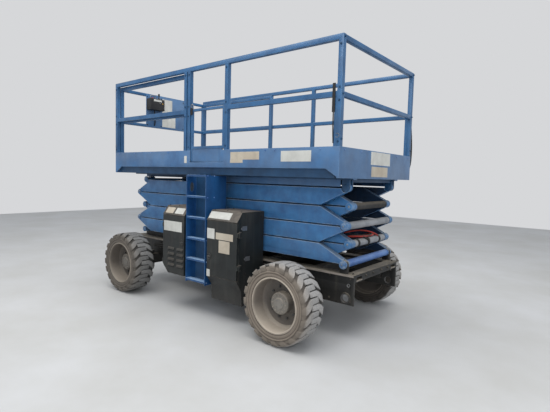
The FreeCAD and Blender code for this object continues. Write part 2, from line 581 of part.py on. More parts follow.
# Lift cylinders: barrel on the inner arms of stage 1 (and 3), rod to the inner arms of stage 2 (and 4)
foot_x = f"({arm_x} - ram_foot_place)"
head_x = f"({arm_x} + ram_head_place)"
ram_rise = "(fold_pitch + ram_foot_drop - ram_head_drop)"
ram_run = "(ram_foot_place + ram_head_place)"
ram_length = f"sqrt({ram_run} ^ 2 + {ram_rise} ^ 2)"
half_eye = "(ram_eye_width / 2)"
for name, stage in (("lower", 1), ("upper", 3)):
    foot_z = f"({pin_z} + {stage - 0.5} * fold_pitch - ram_foot_drop)"
    shell = bar(name + "_barrel_shell", "X", ("0", "0"), "ram_eye_radius + moving_gap", "barrel_length", "barrel_radius")
    eye = bar(name + "_barrel_eye", "Y", ("0", "0"), f"-{half_eye}", half_eye, "ram_eye_radius")
    neck = block(name + "_barrel_neck", ("0", "ram_eye_radius + moving_gap + 5"), (f"-{half_eye}", half_eye),
                 ("-ram_eye_radius", "ram_eye_radius"))
    collar = bar(name + "_barrel_collar", "X", ("0", "0"), "barrel_length - 60", "barrel_length + 20",
                 "barrel_radius + 8")
    bore = bar(name + "_barrel_bore", "X", ("0", "0"), "200", "barrel_length + 30",
               "ram_rod_radius + running_gap")
    eye_bore = bar(name + "_eye_bore", "Y", ("0", "0"), "-100", "100", "ram_pin_radius + running_gap")
    barrel = cut(name + "_barrel_body", fuse(name + "_barrel_solid", [shell, eye, neck, collar]),
                 [bore, eye_bore])
    rod = bar(name + "_rod_bar", "X", ("0", "0"), "230", f"{ram_length} - ram_eye_radius - moving_gap",
              "ram_rod_radius")
    rod_neck = block(name + "_rod_neck", (f"{ram_length} - ram_eye_radius - moving_gap - 5", ram_length),
                     (f"-{half_eye} + 4", f"{half_eye} - 4"), ("-ram_rod_radius + 10", "ram_rod_radius - 10"))
    rod_eye = bar(name + "_rod_eye", "Y", (ram_length, "0"), f"-{half_eye}", half_eye, "ram_eye_radius")
    rod_pin = bar(name + "_rod_pin", "Y", (ram_length, "0"), f"-{half_eye} - 2", f"{half_eye} + 2",
                  "ram_pin_radius")
    rod = fuse(name + "_rod_body", [rod, rod_neck, rod_eye, rod_pin])
    for piece, label in ((barrel, name + "_lift_barrel"), (rod, name + "_lift_rod")):
        piece.Placement = FreeCAD.Placement(V(), FreeCAD.Rotation(V(0, -1, 0), 5))
        bind(piece, "Placement.Rotation.Angle", f"atan2({ram_rise}; {ram_run})")
        place(piece, foot_x, "0", foot_z)
        node(label, piece)

# Platform deck: floor, side channels, end fascias, skirts, beams, tracks and the ears on the top pins
half_deck = "(platform_length / 2)"
deck_side = "(platform_width / 2)"
channel_in = f"({deck_side} - fascia_wall)"
floor_under = "(floor_height - floor_wall)"
toe_top = "(floor_height + toe_height)"
channel_low = "(floor_height - fascia_drop)"
skirt_low = "(floor_height - skirt_drop)"
top_pin_z = "(bottom_pin_height + 4 * fold_pitch)"
beam_low = f"({top_pin_z} + 2 * lug_radius - 10)"

pieces = [
    block("deck_floor", (f"-{half_deck}", half_deck), (f"-{deck_side}", deck_side), (floor_under, "floor_height")),
    block("far_channel", (f"-{half_deck}", half_deck), (channel_in, deck_side), (channel_low, toe_top)),
    block("near_channel_low", (f"-{half_deck}", half_deck), (f"-{deck_side}", f"-{channel_in}"),
          (channel_low, "floor_height")),
    block("near_channel_front", (f"-{half_deck}", "gate_left"), (f"-{deck_side}", f"-{channel_in}"),
          ("floor_height - 1", toe_top)),
    block("near_channel_rear", ("gate_right", half_deck), (f"-{deck_side}", f"-{channel_in}"),
          ("floor_height - 1", toe_top)),
    block("rear_fascia", (f"{half_deck} - end_wall", half_deck), (f"-{deck_side}", deck_side), (skirt_low, toe_top)),
    block("front_fascia", (f"-{half_deck}", f"end_wall - {half_deck}"), (f"-{deck_side}", deck_side),
          (skirt_low, f"{floor_under} + 5")),
    block("rear_cross_beam", (f"{pin_x} - 30", f"{pin_x} + 30"), (f"-{outer_root} - 5", f"{outer_root} + 5"),
          (f"{top_pin_z} + lug_radius + 10", f"{beam_low} + 40")),
]
for i in range(5):
    middle = f"{i - 2} * ({half_deck} - 85) / 2"
    pieces.append(block(f"cross_beam_{i}", (f"{middle} - 40", f"{middle} + 40"), (f"-{channel_in} - 5", f"{channel_in} + 5"),
                        (f"{floor_under} - 80", f"{floor_under} + 2")))
for end, name in ((1, "rear"), (-1, "front")):
    gusset = prism(name + "_gusset", "Y", [(f"{end} * ({half_deck} - 160)", f"{channel_low} + 5"),
                                            (f"{end} * ({half_deck} - 5)", skirt_low),
                                            (f"{end} * ({half_deck} - 5)", f"{channel_low} + 5")],
                   f"{deck_side} - 20", deck_side)
    pieces += both(gusset.Name, gusset)
for name, x, y, z in [
    ("skirt", (f"80 - {half_deck}", f"{half_deck} - 80"), (f"{channel_in} - 15", f"{channel_in} + 5"),
     (skirt_low, f"{channel_low} + 20")),
    ("deck_beam", (f"30 - {half_deck}", f"{half_deck} - 20"), (outer_root, "outer_arm_face"),
     (beam_low, f"{floor_under} + 2")),
    ("deck_track", track_span, (track_in, track_out),
     (f"{top_pin_z} + roller_radius + pad_gap", f"{floor_under} + 2")),
    ("inner_ear_stem", (f"{pin_x} - lug_radius", f"{pin_x} + lug_radius"), (outer_root, f"{outer_root} + ear_wall"),
     (top_pin_z, f"{beam_low} + 5")),
    ("outer_ear_stem", (f"{pin_x} - lug_radius", f"{pin_x} + lug_radius"), ("outer_arm_face - ear_wall", "outer_arm_face"),
     (top_pin_z, f"{beam_low} + 5")),
]:
    pieces += both(name, block(name, x, y, z))
top_pin = (pin_x, top_pin_z)
for name, low, high, radius in [
    ("inner_ear_round", outer_root, f"{outer_root} + ear_wall", "lug_radius"),
    ("outer_ear_round", "outer_arm_face - ear_wall", "outer_arm_face", "lug_radius"),
    ("top_pin", f"{outer_root} - 4", "outer_arm_face + pin_head", "end_pin_radius"),
    ("top_pin_head", "outer_arm_face", "outer_arm_face + pin_head", 33),
]:
    pieces += both(name, bar(name, "Y", top_pin, low, high, radius))
node("platform_deck", fuse("deck_body", pieces))

# Guard rails: posts (place of each post's -X face), top rail and mid rails on each side
rail_low = "(rail_top - rail_height)"
mid_span = ("mid_rail_height - rail_height / 2", "mid_rail_height + rail_height / 2")
posts = {"near": [f"-{half_deck}", "gate_left - 120", "gate_left - fascia_wall", "gate_right",
                  f"{half_deck} - fascia_wall"],
         "far": [f"-{half_deck}", "-365", "450", f"{half_deck} - fascia_wall"]}
mids = {"near": [(f"-{half_deck}", "gate_left - 100"), ("gate_right + 10", half_deck)],
        "far": [(f"-{half_deck}", half_deck)]}
for name, y in (("near", (f"-{deck_side}", f"-{channel_in}")), ("far", (channel_in, deck_side))):
    pieces = [block(f"{name}_post_{i}", (left, f"({left}) + fascia_wall"), y, (toe_top, f"{rail_low} + 5"))
              for i, left in enumerate(posts[name])]
    pieces.append(block(name + "_top_rail", (f"-{half_deck}", half_deck), y, (rail_low, "rail_top")))
    pieces += [block(f"{name}_mid_rail_{i}", span, y, mid_span) for i, span in enumerate(mids[name])]
    if name == "near":
        gate_x = "(gate_right - gate_axis_gap)"
        gate_y = f"(-{deck_side} + fascia_wall / 2)"
        gate_low = f"({toe_top} + 20)"
        gate_high = f"({mid_span[1]})"
        for i, z in enumerate(((f"{gate_low} - 9", f"{gate_low} - 1"), (f"{gate_high} + 1", f"{gate_high} + 9"))):
            pieces.append(block(f"gate_bracket_{i}", (f"{gate_x} - 12", "gate_right + 5"),
                                (f"{gate_y} - 12", f"{gate_y} + 12"), z))
        pieces.append(bar("gate_pin_low", "Z", (gate_x, gate_y), f"{gate_low} - 5", f"{gate_low} + 40",
                          "hinge_pin_radius + 1"))
        pieces.append(bar("gate_pin_high", "Z", (gate_x, gate_y), f"{gate_high} - 40", f"{gate_high} + 5",
                          "hinge_pin_radius + 1"))
    node(name + "_guard_rails", fuse(name + "_rails_body", pieces))
rear_y = (f"-{channel_in}", channel_in)
rear_x_span = (f"{half_deck} - fascia_wall", half_deck)
node("rear_guard_rails", group("rear_rails_body", [
    block("rear_top_rail", rear_x_span, rear_y, (rail_low, "rail_top")),
    block("rear_mid_rail", rear_x_span, rear_y, mid_span)]))

# Entry gate: swings in from the post at its right
half_gate = "(gate_wall / 2)"
gate_y_span = (f"{gate_y} - {half_gate}", f"{gate_y} + {half_gate}")
pieces = [
    block("gate_hinge_stile", (f"{gate_x} - {half_gate}", f"{gate_x} + {half_gate}"), gate_y_span, (gate_low, gate_high)),
    block("gate_free_stile", ("gate_left + 8", "gate_left + 8 + gate_wall"), gate_y_span, ("floor_height + 10", gate_high)),
    block("gate_mid_bar", ("gate_left + 8", gate_x), gate_y_span, (f"{gate_high} - gate_wall", gate_high)),
    block("gate_low_bar", ("gate_left + 8", gate_x), gate_y_span, (gate_low, f"{gate_low} + gate_wall")),
    block("gate_toe_board", ("gate_left + 8", f"{gate_x} - {half_gate} - 8"), (f"{gate_y} - 8", f"{gate_y} + 8"),
          ("floor_height + 10", f"{gate_low} + 5")),
]
bore = bar("gate_bore", "Z", (gate_x, gate_y), "floor_height", f"{gate_high} + 5", "hinge_pin_radius + 1 + running_gap")
node("entry_gate", cut("gate_body", fuse("gate_solid", pieces), [bore]))

# Roll-out deck on the front half, with its own rails inside the main ones
ext_front = f"(-{half_deck})"
ext_rear = f"({ext_front} + extension_length)"
ext_side = f"({channel_in} - side_gap)"
ext_low = "(floor_height + moving_gap)"
ext_top = "(floor_height + moving_gap + extension_plate)"
toe_in = f"({ext_side} - extension_tube)"
pieces = [
    block("extension_plate_body", (f"{ext_front} + 2", ext_rear), (f"-{ext_side}", ext_side), (ext_low, ext_top)),
    block("extension_fascia", (ext_front, f"{ext_front} + 20"), (f"-{ext_side}", ext_side), (ext_low, toe_top)),
]
for name, x, y, z in [
    ("runner", (f"{ext_front} + 30", ext_rear), (f"{toe_in} - 20", f"{ext_side} - 10"),
     ("floor_height + seat_gap", f"{ext_low} + 2")),
    ("extension_toe", (f"{ext_front} + 10", ext_rear), (f"{ext_side} - 12", ext_side), (ext_low, f"{toe_top} - 5")),
]:
    pieces += both(name, block(name, x, y, z))
node("extension_deck", fuse("extension_body", pieces))

ext_rail_top = f"({rail_low} - 10)"
ext_rail = (f"{ext_rail_top} - extension_tube", ext_rail_top)
ext_mid = (f"{mid_span[0]} - 20", f"{mid_span[0]} - 20 + extension_tube")
for name, y in (("near", (f"-{ext_side}", f"-{toe_in}")), ("far", (toe_in, ext_side))):
    ends = [f"{ext_front} + 22", f"{ext_rear} - extension_tube"]
    pieces = [block(f"{name}_extension_post_{i}", (left, f"{left} + extension_tube"), y,
                    (f"{ext_top}", f"{ext_rail[0]} + 5")) for i, left in enumerate(ends)]
    cut_y = (y[0], f"{y[1]}") if name == "near" else y
    pieces.append(block(name + "_extension_top_rail", (ends[0], ext_rear), cut_y, ext_rail))
    pieces.append(block(name + "_extension_mid_rail", (ends[0], ext_rear), cut_y, ext_mid))
    toe_cut = block(name + "_toe_clear", (ext_front, f"{ext_rear} + 5"),
                    (f"-{ext_side} - 1", f"12 - {ext_side}") if name == "near" else (f"{ext_side} - 12", f"{ext_side} + 1"),
                    (ext_low, f"{toe_top} - 5"))
    node(name + "_extension_rails", cut(name + "_extension_rails_body",
                                        fuse(name + "_extension_rails_solid", pieces), [toe_cut]))
front_span = (f"{ext_front} + 22", f"{ext_front} + 22 + extension_tube")
front_y = (f"-{toe_in}", toe_in)
panel_x = (f"{front_span[1]}", f"{front_span[1]} + 6")
node("front_guard_rails", group("front_rails_body", [
    block("front_top_rail", front_span, front_y, ext_rail), block("front_mid_rail", front_span, front_y, ext_mid)]))

# Control panel and box on the front rails
panel = block("panel_plate", panel_x, ("-405", "350"), (f"{ext_mid[0]}", f"{ext_rail[1]} - 15"))
control = block("control_body", (panel_x[1], f"{panel_x[1]} + 120"), ("-400", "-138"),
                (f"{ext_rail[1]} - 260", f"{ext_rail[1]} - 80"))
node("control_panel", panel)
node("control_box", control)

# Ladder: side plates, back panel, rungs and the two bars that carry it
ladder_x = [("left_plate", "ladder_left", "ladder_left + ladder_plate"),
            ("right_plate", "ladder_right - ladder_plate", "ladder_right")]
plate_outline = [("-ladder_front", "lowest_rung - 20"), ("-ladder_front", "ladder_top"), ("-700", "ladder_top"),
                 ("-700", "1300"), ("-ladder_back", "1000"), ("-ladder_back", "lowest_rung - 20")]
pieces = [prism(name, "X", plate_outline, low, high) for name, low, high in ladder_x]
inside = ("ladder_left + ladder_plate - 1", "ladder_right - ladder_plate + 1")
pieces.append(block("ladder_back_panel", inside, ("-ladder_back - 8", "-ladder_back"), ("lowest_rung - 20", "ladder_top")))
for i in range(6):
    pieces.append(block(f"rung_{i}", inside, ("-ladder_front", "-ladder_front + rung_depth"),
                        (f"lowest_rung + {i} * rung_pitch", f"lowest_rung + {i} * rung_pitch + rung_wall")))
for i, low in enumerate(("rail_bottom + 20", "rail_bottom + 130")):
    pieces.append(block(f"ladder_bar_{i}", ("60", "120"), ("-ladder_back - 1", f"-{half_width}"), (low, f"{low} + 60")))
node("ladder", fuse("ladder_body", pieces))

# Side boxes with hinged doors: name, side, -X wall, +X wall, underside, door's underside, door hinge end
boxes = [("near_front", -1, "front_box_left", "front_box_right", "front_box_low", "front_box_low", -1),
         ("near_rear", -1, "rear_box_left", "rear_box_right", "rear_box_low", "taper_top", 1),
         ("far_engine", 1, "front_box_left", "rear_box_right", "engine_box_low", "engine_box_low", -1)]
body_front = "(box_front - door_wall - door_gap)"
slope_z = "(box_top - box_slope_drop)"
for name, side, left, right, low, door_low, hinge_end in boxes:
    def across(a, b, side=side):
        return (f"-({b})", f"-({a})") if side < 0 else (a, b)

    def sketch_points(points, side=side):
        return [(f"{side} * ({y})", z) for y, z in points]
    tapered = name == "near_rear"
    foot = [(body_front, low)]
    inner_foot = [("box_front + 5", f"{low} + box_wall")]
    if tapered:
        foot = [("box_front - taper_depth - 15", low), ("box_front - taper_depth", "taper_knee"),
                ("box_front", "taper_top"), (body_front, "taper_top")]
        inner_foot = [("box_front - taper_depth - 15 - box_wall", f"{low} + box_wall"),
                      ("box_front - taper_depth - box_wall", "taper_knee + 10"),
                      (f"{body_front} - box_wall", "taper_top"), (f"{body_front} - box_wall", "taper_top + 1"),
                      ("box_front + 5", "taper_top + 1")]
    shell = prism(name + "_shell", "X", sketch_points([("box_back", low)] + foot + [
        (body_front, f"{slope_z} - door_gap"), ("box_front", f"{slope_z} - door_gap"),
        ("box_front", slope_z), ("box_front - box_slope", "box_top"), ("box_back", "box_top")]), left, right)
    hollow = prism(name + "_hollow", "X", sketch_points([("box_back + box_wall", f"{low} + box_wall")] + inner_foot + [
        ("box_front + 5", f"{slope_z} - box_wall"), ("box_front - box_slope - box_wall / 2", "box_top - box_wall"),
        ("box_back + box_wall", "box_top - box_wall")]), f"{left} + box_wall", f"{right} - box_wall")
    feet = [block(f"{name}_foot_{i}", (x, f"({x}) + 80"), across(half_width, "box_back + 1"),
                  ("rail_bottom + 30", "rail_bottom + 170")) for i, x in
            enumerate((f"{left} + 40", f"{right} - 120"))]
    axis_x = f"({left} - 14)" if hinge_end < 0 else f"({right} + 14)"
    axis_y = f"({body_front} + door_gap / 2)"
    edge = left if hinge_end < 0 else right
    door_z = (f"{door_low} + 5", f"{slope_z} - 2 * door_gap")
    leaf_box = (f"{axis_x} - 8", f"({edge}) + 1") if hinge_end < 0 else (f"({edge}) - 1", f"{axis_x} + 8")
    leaf_door = (axis_x, f"({edge}) + 6") if hinge_end < 0 else (f"({edge}) - 6", axis_x)
    knuckles, pins, bores = [], [], []
    for i, height in enumerate((f"({door_low} + 150)", f"({slope_z} - 140)")):
        centre = (axis_x, f"{side} * {axis_y}")
        knuckles.append(bar(f"{name}_knuckle_{i}", "Z", centre, f"{height} - 25", f"{height} + 25", "hinge_radius"))
        knuckles.append(block(f"{name}_leaf_{i}", leaf_door, across(f"{axis_y} + 4", "box_front - 2"),
                              (f"{height} - 25", f"{height} + 25")))
        bores.append(bar(f"{name}_bore_{i}", "Z", centre, f"{height} - 30", f"{height} + 30",
                         "hinge_pin_radius + running_gap"))
        pins.append(bar(f"{name}_pin_{i}", "Z", centre, f"{height} - 34", f"{height} + 34", "hinge_pin_radius"))
        for j, end_z in enumerate(((f"{height} - 34", f"{height} - 26"), (f"{height} + 26", f"{height} + 34"))):
            pins.append(block(f"{name}_ear_{i}{j}", leaf_box, across(f"{body_front} - 25", f"{axis_y} + 8"), end_z))
    panel = block(name + "_door_panel", (f"{left} + 3", f"{right} - 3"), across("box_front - door_wall", "box_front"), door_z)
    if name == "near_front":
        def chamfer(label, shift):
            return prism(label, "Y", [(f"{left} - 50", f"{low} - 50"), (f"{left} + corner_chamfer + 50 + {shift}", f"{low} - 50"),
                                      (f"{left} - 50", f"{low} + corner_chamfer + 50 + {shift}")],
                         "-box_front - 20", "20 - box_back")
        hollow = cut("near_front_room", hollow, [chamfer("chamfer_inside", "box_wall * 1.4")])
        shell = cut("near_front_cut_shell", shell, [chamfer("chamfer_shell", "0")])
        panel = cut("near_front_cut_panel", panel, [chamfer("chamfer_door", "5")])
    node(name + "_box", fuse(name + "_box_body", [cut(name + "_shell_cut", shell, [hollow])] + feet + pins))
    node(name + "_door", cut(name + "_door_body", fuse(name + "_door_solid", [panel] + knuckles), bores))

# Engine inside the far box, one plain block on the box's floor
node("engine_block", block("engine_body", ("front_box_left + 150", "rear_box_right - 480"),
                           ("box_back + 60", "box_front - 110"), ("engine_box_low + box_wall", "box_top - 320")))

doc.recompute()
for thing in doc.Objects:
    if "Invalid" in thing.State or "Error" in thing.State:
        raise SystemExit(f"{thing.Label} failed: {thing.State}")
os.makedirs("parts", exist_ok=True)
for label, thing in nodes.items():
    if thing.Shape.isNull() or not thing.Shape.isValid():
        raise SystemExit(f"{label} has no valid shape")
    thing.Shape.exportStep(f"parts/{label}.step")
print(len(nodes), "nodes")
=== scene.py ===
import bmesh
import bpy
import json
import math
from mathutils import Matrix, Vector


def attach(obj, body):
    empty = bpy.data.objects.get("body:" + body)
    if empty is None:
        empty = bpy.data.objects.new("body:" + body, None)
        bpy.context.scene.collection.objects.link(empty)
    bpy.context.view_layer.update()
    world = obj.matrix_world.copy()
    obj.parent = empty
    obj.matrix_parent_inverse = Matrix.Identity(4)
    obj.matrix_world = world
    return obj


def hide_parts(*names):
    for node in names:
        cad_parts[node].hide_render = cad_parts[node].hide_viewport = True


# Rough-terrain scissor lift, folded down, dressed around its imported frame. Metres.
# +X is the end with the fixed pins, -X the steered end, -Y the side with the ladder.

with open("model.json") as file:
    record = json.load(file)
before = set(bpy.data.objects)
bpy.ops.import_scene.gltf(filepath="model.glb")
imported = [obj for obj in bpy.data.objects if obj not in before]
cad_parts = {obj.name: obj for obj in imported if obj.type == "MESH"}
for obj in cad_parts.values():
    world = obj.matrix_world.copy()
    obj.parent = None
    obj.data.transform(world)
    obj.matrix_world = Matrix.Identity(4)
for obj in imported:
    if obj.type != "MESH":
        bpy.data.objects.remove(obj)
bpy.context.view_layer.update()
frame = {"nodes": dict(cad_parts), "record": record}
nodes = frame["nodes"]
print("frame loaded:", len(nodes), "nodes")


def tint(*levels):  # a screen colour, 0 to 255, as the linear colour that a shader takes
    return tuple(((v / 255 + 0.055) / 1.055) ** 2.4 if v > 10 else v / 3294.6 for v in levels) + (1.0,)


def placed(name, data):
    holder = bpy.data.objects.new(name, data)
    bpy.context.scene.collection.objects.link(holder)
    return holder


# Camera and lamps
view = {"place": (3.9248, -4.2633, 1.7082), "heading": 128.8627, "pitch": -4.1042, "roll": 1.5425,
        "lens": 26.76, "sensor": 36, "farthest": 300}
heading, pitch, roll = (math.radians(view[k]) for k in ("heading", "pitch", "roll"))
ahead = Vector((math.cos(pitch) * math.cos(heading), math.cos(pitch) * math.sin(heading), math.sin(pitch)))
level = Vector((math.sin(heading), -math.cos(heading), 0))
upward = level.cross(ahead)
across = level * math.cos(roll) + upward * math.sin(roll)
above = upward * math.cos(roll) - level * math.sin(roll)
camera = placed("mainCamera", bpy.data.cameras.new("mainCamera"))
camera.data.lens = view["lens"]
camera.data.sensor_width = view["sensor"]
camera.data.clip_end = view["farthest"]
turned = Matrix((across, above, -ahead)).transposed().to_4x4()
camera.matrix_world = Matrix.Translation(view["place"]) @ turned
bpy.context.scene.camera = camera

lamps = {"overheadLamp": {"place": (0.5, -1.5, 7.5), "target": (0, 0, 1), "size": (9, 7), "power": 620,
                          "colour": (1, 0.985, 0.96)},
         "sideLamp": {"place": (6.5, -7.0, 3.6), "target": (0, 0, 1.2), "size": (5, 3), "power": 150,
                      "colour": (0.96, 0.98, 1)}}
for name, lamp in lamps.items():
    area = bpy.data.lights.new(name, "AREA")
    area.shape, area.energy, area.color = "RECTANGLE", lamp["power"], lamp["colour"]
    area.size, area.size_y = lamp["size"]
    holder = placed(name, area)
    holder.location = lamp["place"]
    line = Vector(lamp["target"]) - Vector(lamp["place"])
    holder.rotation_euler = line.to_track_quat("-Z", "Y").to_euler()


class Wiring:  # a node tree and a short way to add to it
    def __init__(self, tree):
        self.tree = tree
        tree.nodes.clear()

    def fill(self, node, inputs):  # each input takes a link or a value
        for name, value in inputs.items():
            if isinstance(value, bpy.types.NodeSocket):
                self.tree.links.new(value, node.inputs[name])
            else:
                node.inputs[name].default_value = value
        return node

    def add(self, kind, inputs=None, **settings):
        node = self.tree.nodes.new(kind)
        for name, value in settings.items():
            setattr(node, name, value)
        return self.fill(node, inputs or {})

    def math(self, operation, first, second=0.0, third=0.0, clamp=False):
        return self.add("ShaderNodeMath", {0: first, 1: second, 2: third}, operation=operation,
                        use_clamp=clamp).outputs[0]

    def times(self, first, second, clamp=False):
        return self.math("MULTIPLY", first, second, clamp=clamp)

    def spot(self, kind="Object"):  # where a point is, in its object's own coordinates
        return self.add("ShaderNodeTexCoord").outputs[kind]

    def axes(self, vector):
        return self.add("ShaderNodeSeparateXYZ", {0: vector}).outputs

    def ramp(self, value, low, high, least=0.0, most=1.0):
        return self.add("ShaderNodeMapRange", {"Value": value, "From Min": low, "From Max": high,
                                               "To Min": least, "To Max": most}).outputs[0]

    def bands(self, value, stops):  # a colour along a run of (place, screen colour) stops
        node = self.add("ShaderNodeValToRGB", {0: value})
        row = node.color_ramp.elements
        row[0].position, row[0].color = stops[0][0], tint(*stops[0][1])
        row[1].position, row[1].color = stops[-1][0], tint(*stops[-1][1])
        for place, levels in stops[1:-1]:
            row.new(place).color = tint(*levels)
        return node.outputs[0]

    def noise(self, where, scale, detail=3.0, rough=0.55):
        return self.add("ShaderNodeTexNoise", {"Vector": where, "Scale": scale, "Detail": detail,
                                               "Roughness": rough}).outputs["Fac"]

    def blend(self, share, first, second):
        return self.add("ShaderNodeMix", {0: share, 6: first, 7: second}, data_type="RGBA").outputs[2]

    def shared(self, tree, values):  # a shader group with its inputs set
        return self.add("ShaderNodeGroup", values, node_tree=tree).outputs


def newGroup(name, kind, ins, outs):
    tree = bpy.data.node_groups.new(name, kind)
    for label, socketKind, value in ins:
        socket = tree.interface.new_socket(label, in_out="INPUT", socket_type=socketKind)
        if value is not None:
            socket.default_value = value
    for label, socketKind in outs:
        tree.interface.new_socket(label, in_out="OUTPUT", socket_type=socketKind)
    wires = Wiring(tree)
    return wires, wires.add("NodeGroupInput").outputs


number, shape, whole = "NodeSocketFloat", "NodeSocketGeometry", "NodeSocketInt"


def shaderGroup(name, ins, outs):  # all its sockets are numbers
    return newGroup(name, "ShaderNodeTree", [(label, number, value) for label, value in ins.items()],
                    [(label, number) for label in outs])


# Effects that several finishes share: rubbed edges, a painted highlight along upper edges, fallen dust, the
# grain of paint and run marks
wires, given = shaderGroup("edgeRub", {"Width": 0.01, "Amount": 0.7, "Scale": 14.0}, ["Mask", "Upper"])
edgeRub = wires.tree
rounded = wires.add("ShaderNodeBevel", {"Radius": given["Width"]}, samples=4).outputs[0]
facing = wires.add("ShaderNodeNewGeometry").outputs["Normal"]
match = wires.add("ShaderNodeVectorMath", {0: rounded, 1: facing}, operation="DOT_PRODUCT").outputs["Value"]
edge = wires.ramp(match, 0.985, 0.86)
where = wires.spot()
patches = wires.ramp(wires.noise(where, given["Scale"], 4, 0.65), 0.42, 0.62)
# A painted highlight along upper edges: where the rounded normal points higher than the face, broken up by
# noise
rise = wires.math("SUBTRACT", wires.axes(rounded)["Z"], wires.axes(facing)["Z"])
broken = wires.ramp(wires.noise(where, 5.0, 4, 0.6), 0.3, 0.55, 0.35, 1.0)
upper = wires.times(wires.ramp(rise, 0.12, 0.45), broken)
mask = wires.times(wires.times(edge, patches), given["Amount"], clamp=True)
wires.add("NodeGroupOutput", {"Mask": mask, "Upper": upper})

wires, given = shaderGroup("dustFall", {"Top": 0.5, "Low": 0.4, "Floor": 0.3, "Reach": 0.8}, ["Mask"])
dustFall = wires.tree
where = wires.spot()
onTop = wires.times(wires.ramp(wires.axes(wires.spot("Normal"))["Z"], 0.15, 0.9), given["Top"])
above = wires.math("SUBTRACT", wires.axes(where)["Z"], given["Floor"])
downLow = wires.math("SUBTRACT", 1.0, wires.math("DIVIDE", above, given["Reach"]), clamp=True)
settled = wires.math("ADD", onTop, wires.times(downLow, given["Low"]))
broad = wires.math("MULTIPLY_ADD", wires.ramp(wires.noise(where, 2.3, 3), 0.3, 0.68), 0.7, 0.45)
fine = wires.ramp(wires.noise(where, 28, 4, 0.7), 0.35, 0.7, 0.55, 1.15)
wires.add("NodeGroupOutput", {"Mask": wires.times(settled, wires.times(broad, fine), clamp=True)})

wires, given = shaderGroup("paintGrain", {"Scale": 90.0}, ["Height", "Change"])
paintGrain = wires.tree
where = wires.spot()
change = wires.noise(where, wires.times(given["Scale"], 0.06), 5, 0.62)
wires.add("NodeGroupOutput", {"Height": wires.noise(where, given["Scale"], 2), "Change": change})

wires, given = shaderGroup("runMarks", {"Amount": 0.4, "Length": 0.9}, ["Mask"])
runMarks = wires.tree
parts = wires.axes(wires.spot())
stretch = {"X": 16.0, "Y": 16.0, "Z": given["Length"]}
drawn = wires.add("ShaderNodeCombineXYZ", {axis: wires.times(parts[axis], by) for axis, by in stretch.items()})
runs = wires.ramp(wires.noise(drawn.outputs[0], 1.0, 4, 0.6), 0.52, 0.74)
wires.add("NodeGroupOutput", {"Mask": wires.times(runs, given["Amount"], clamp=True)})
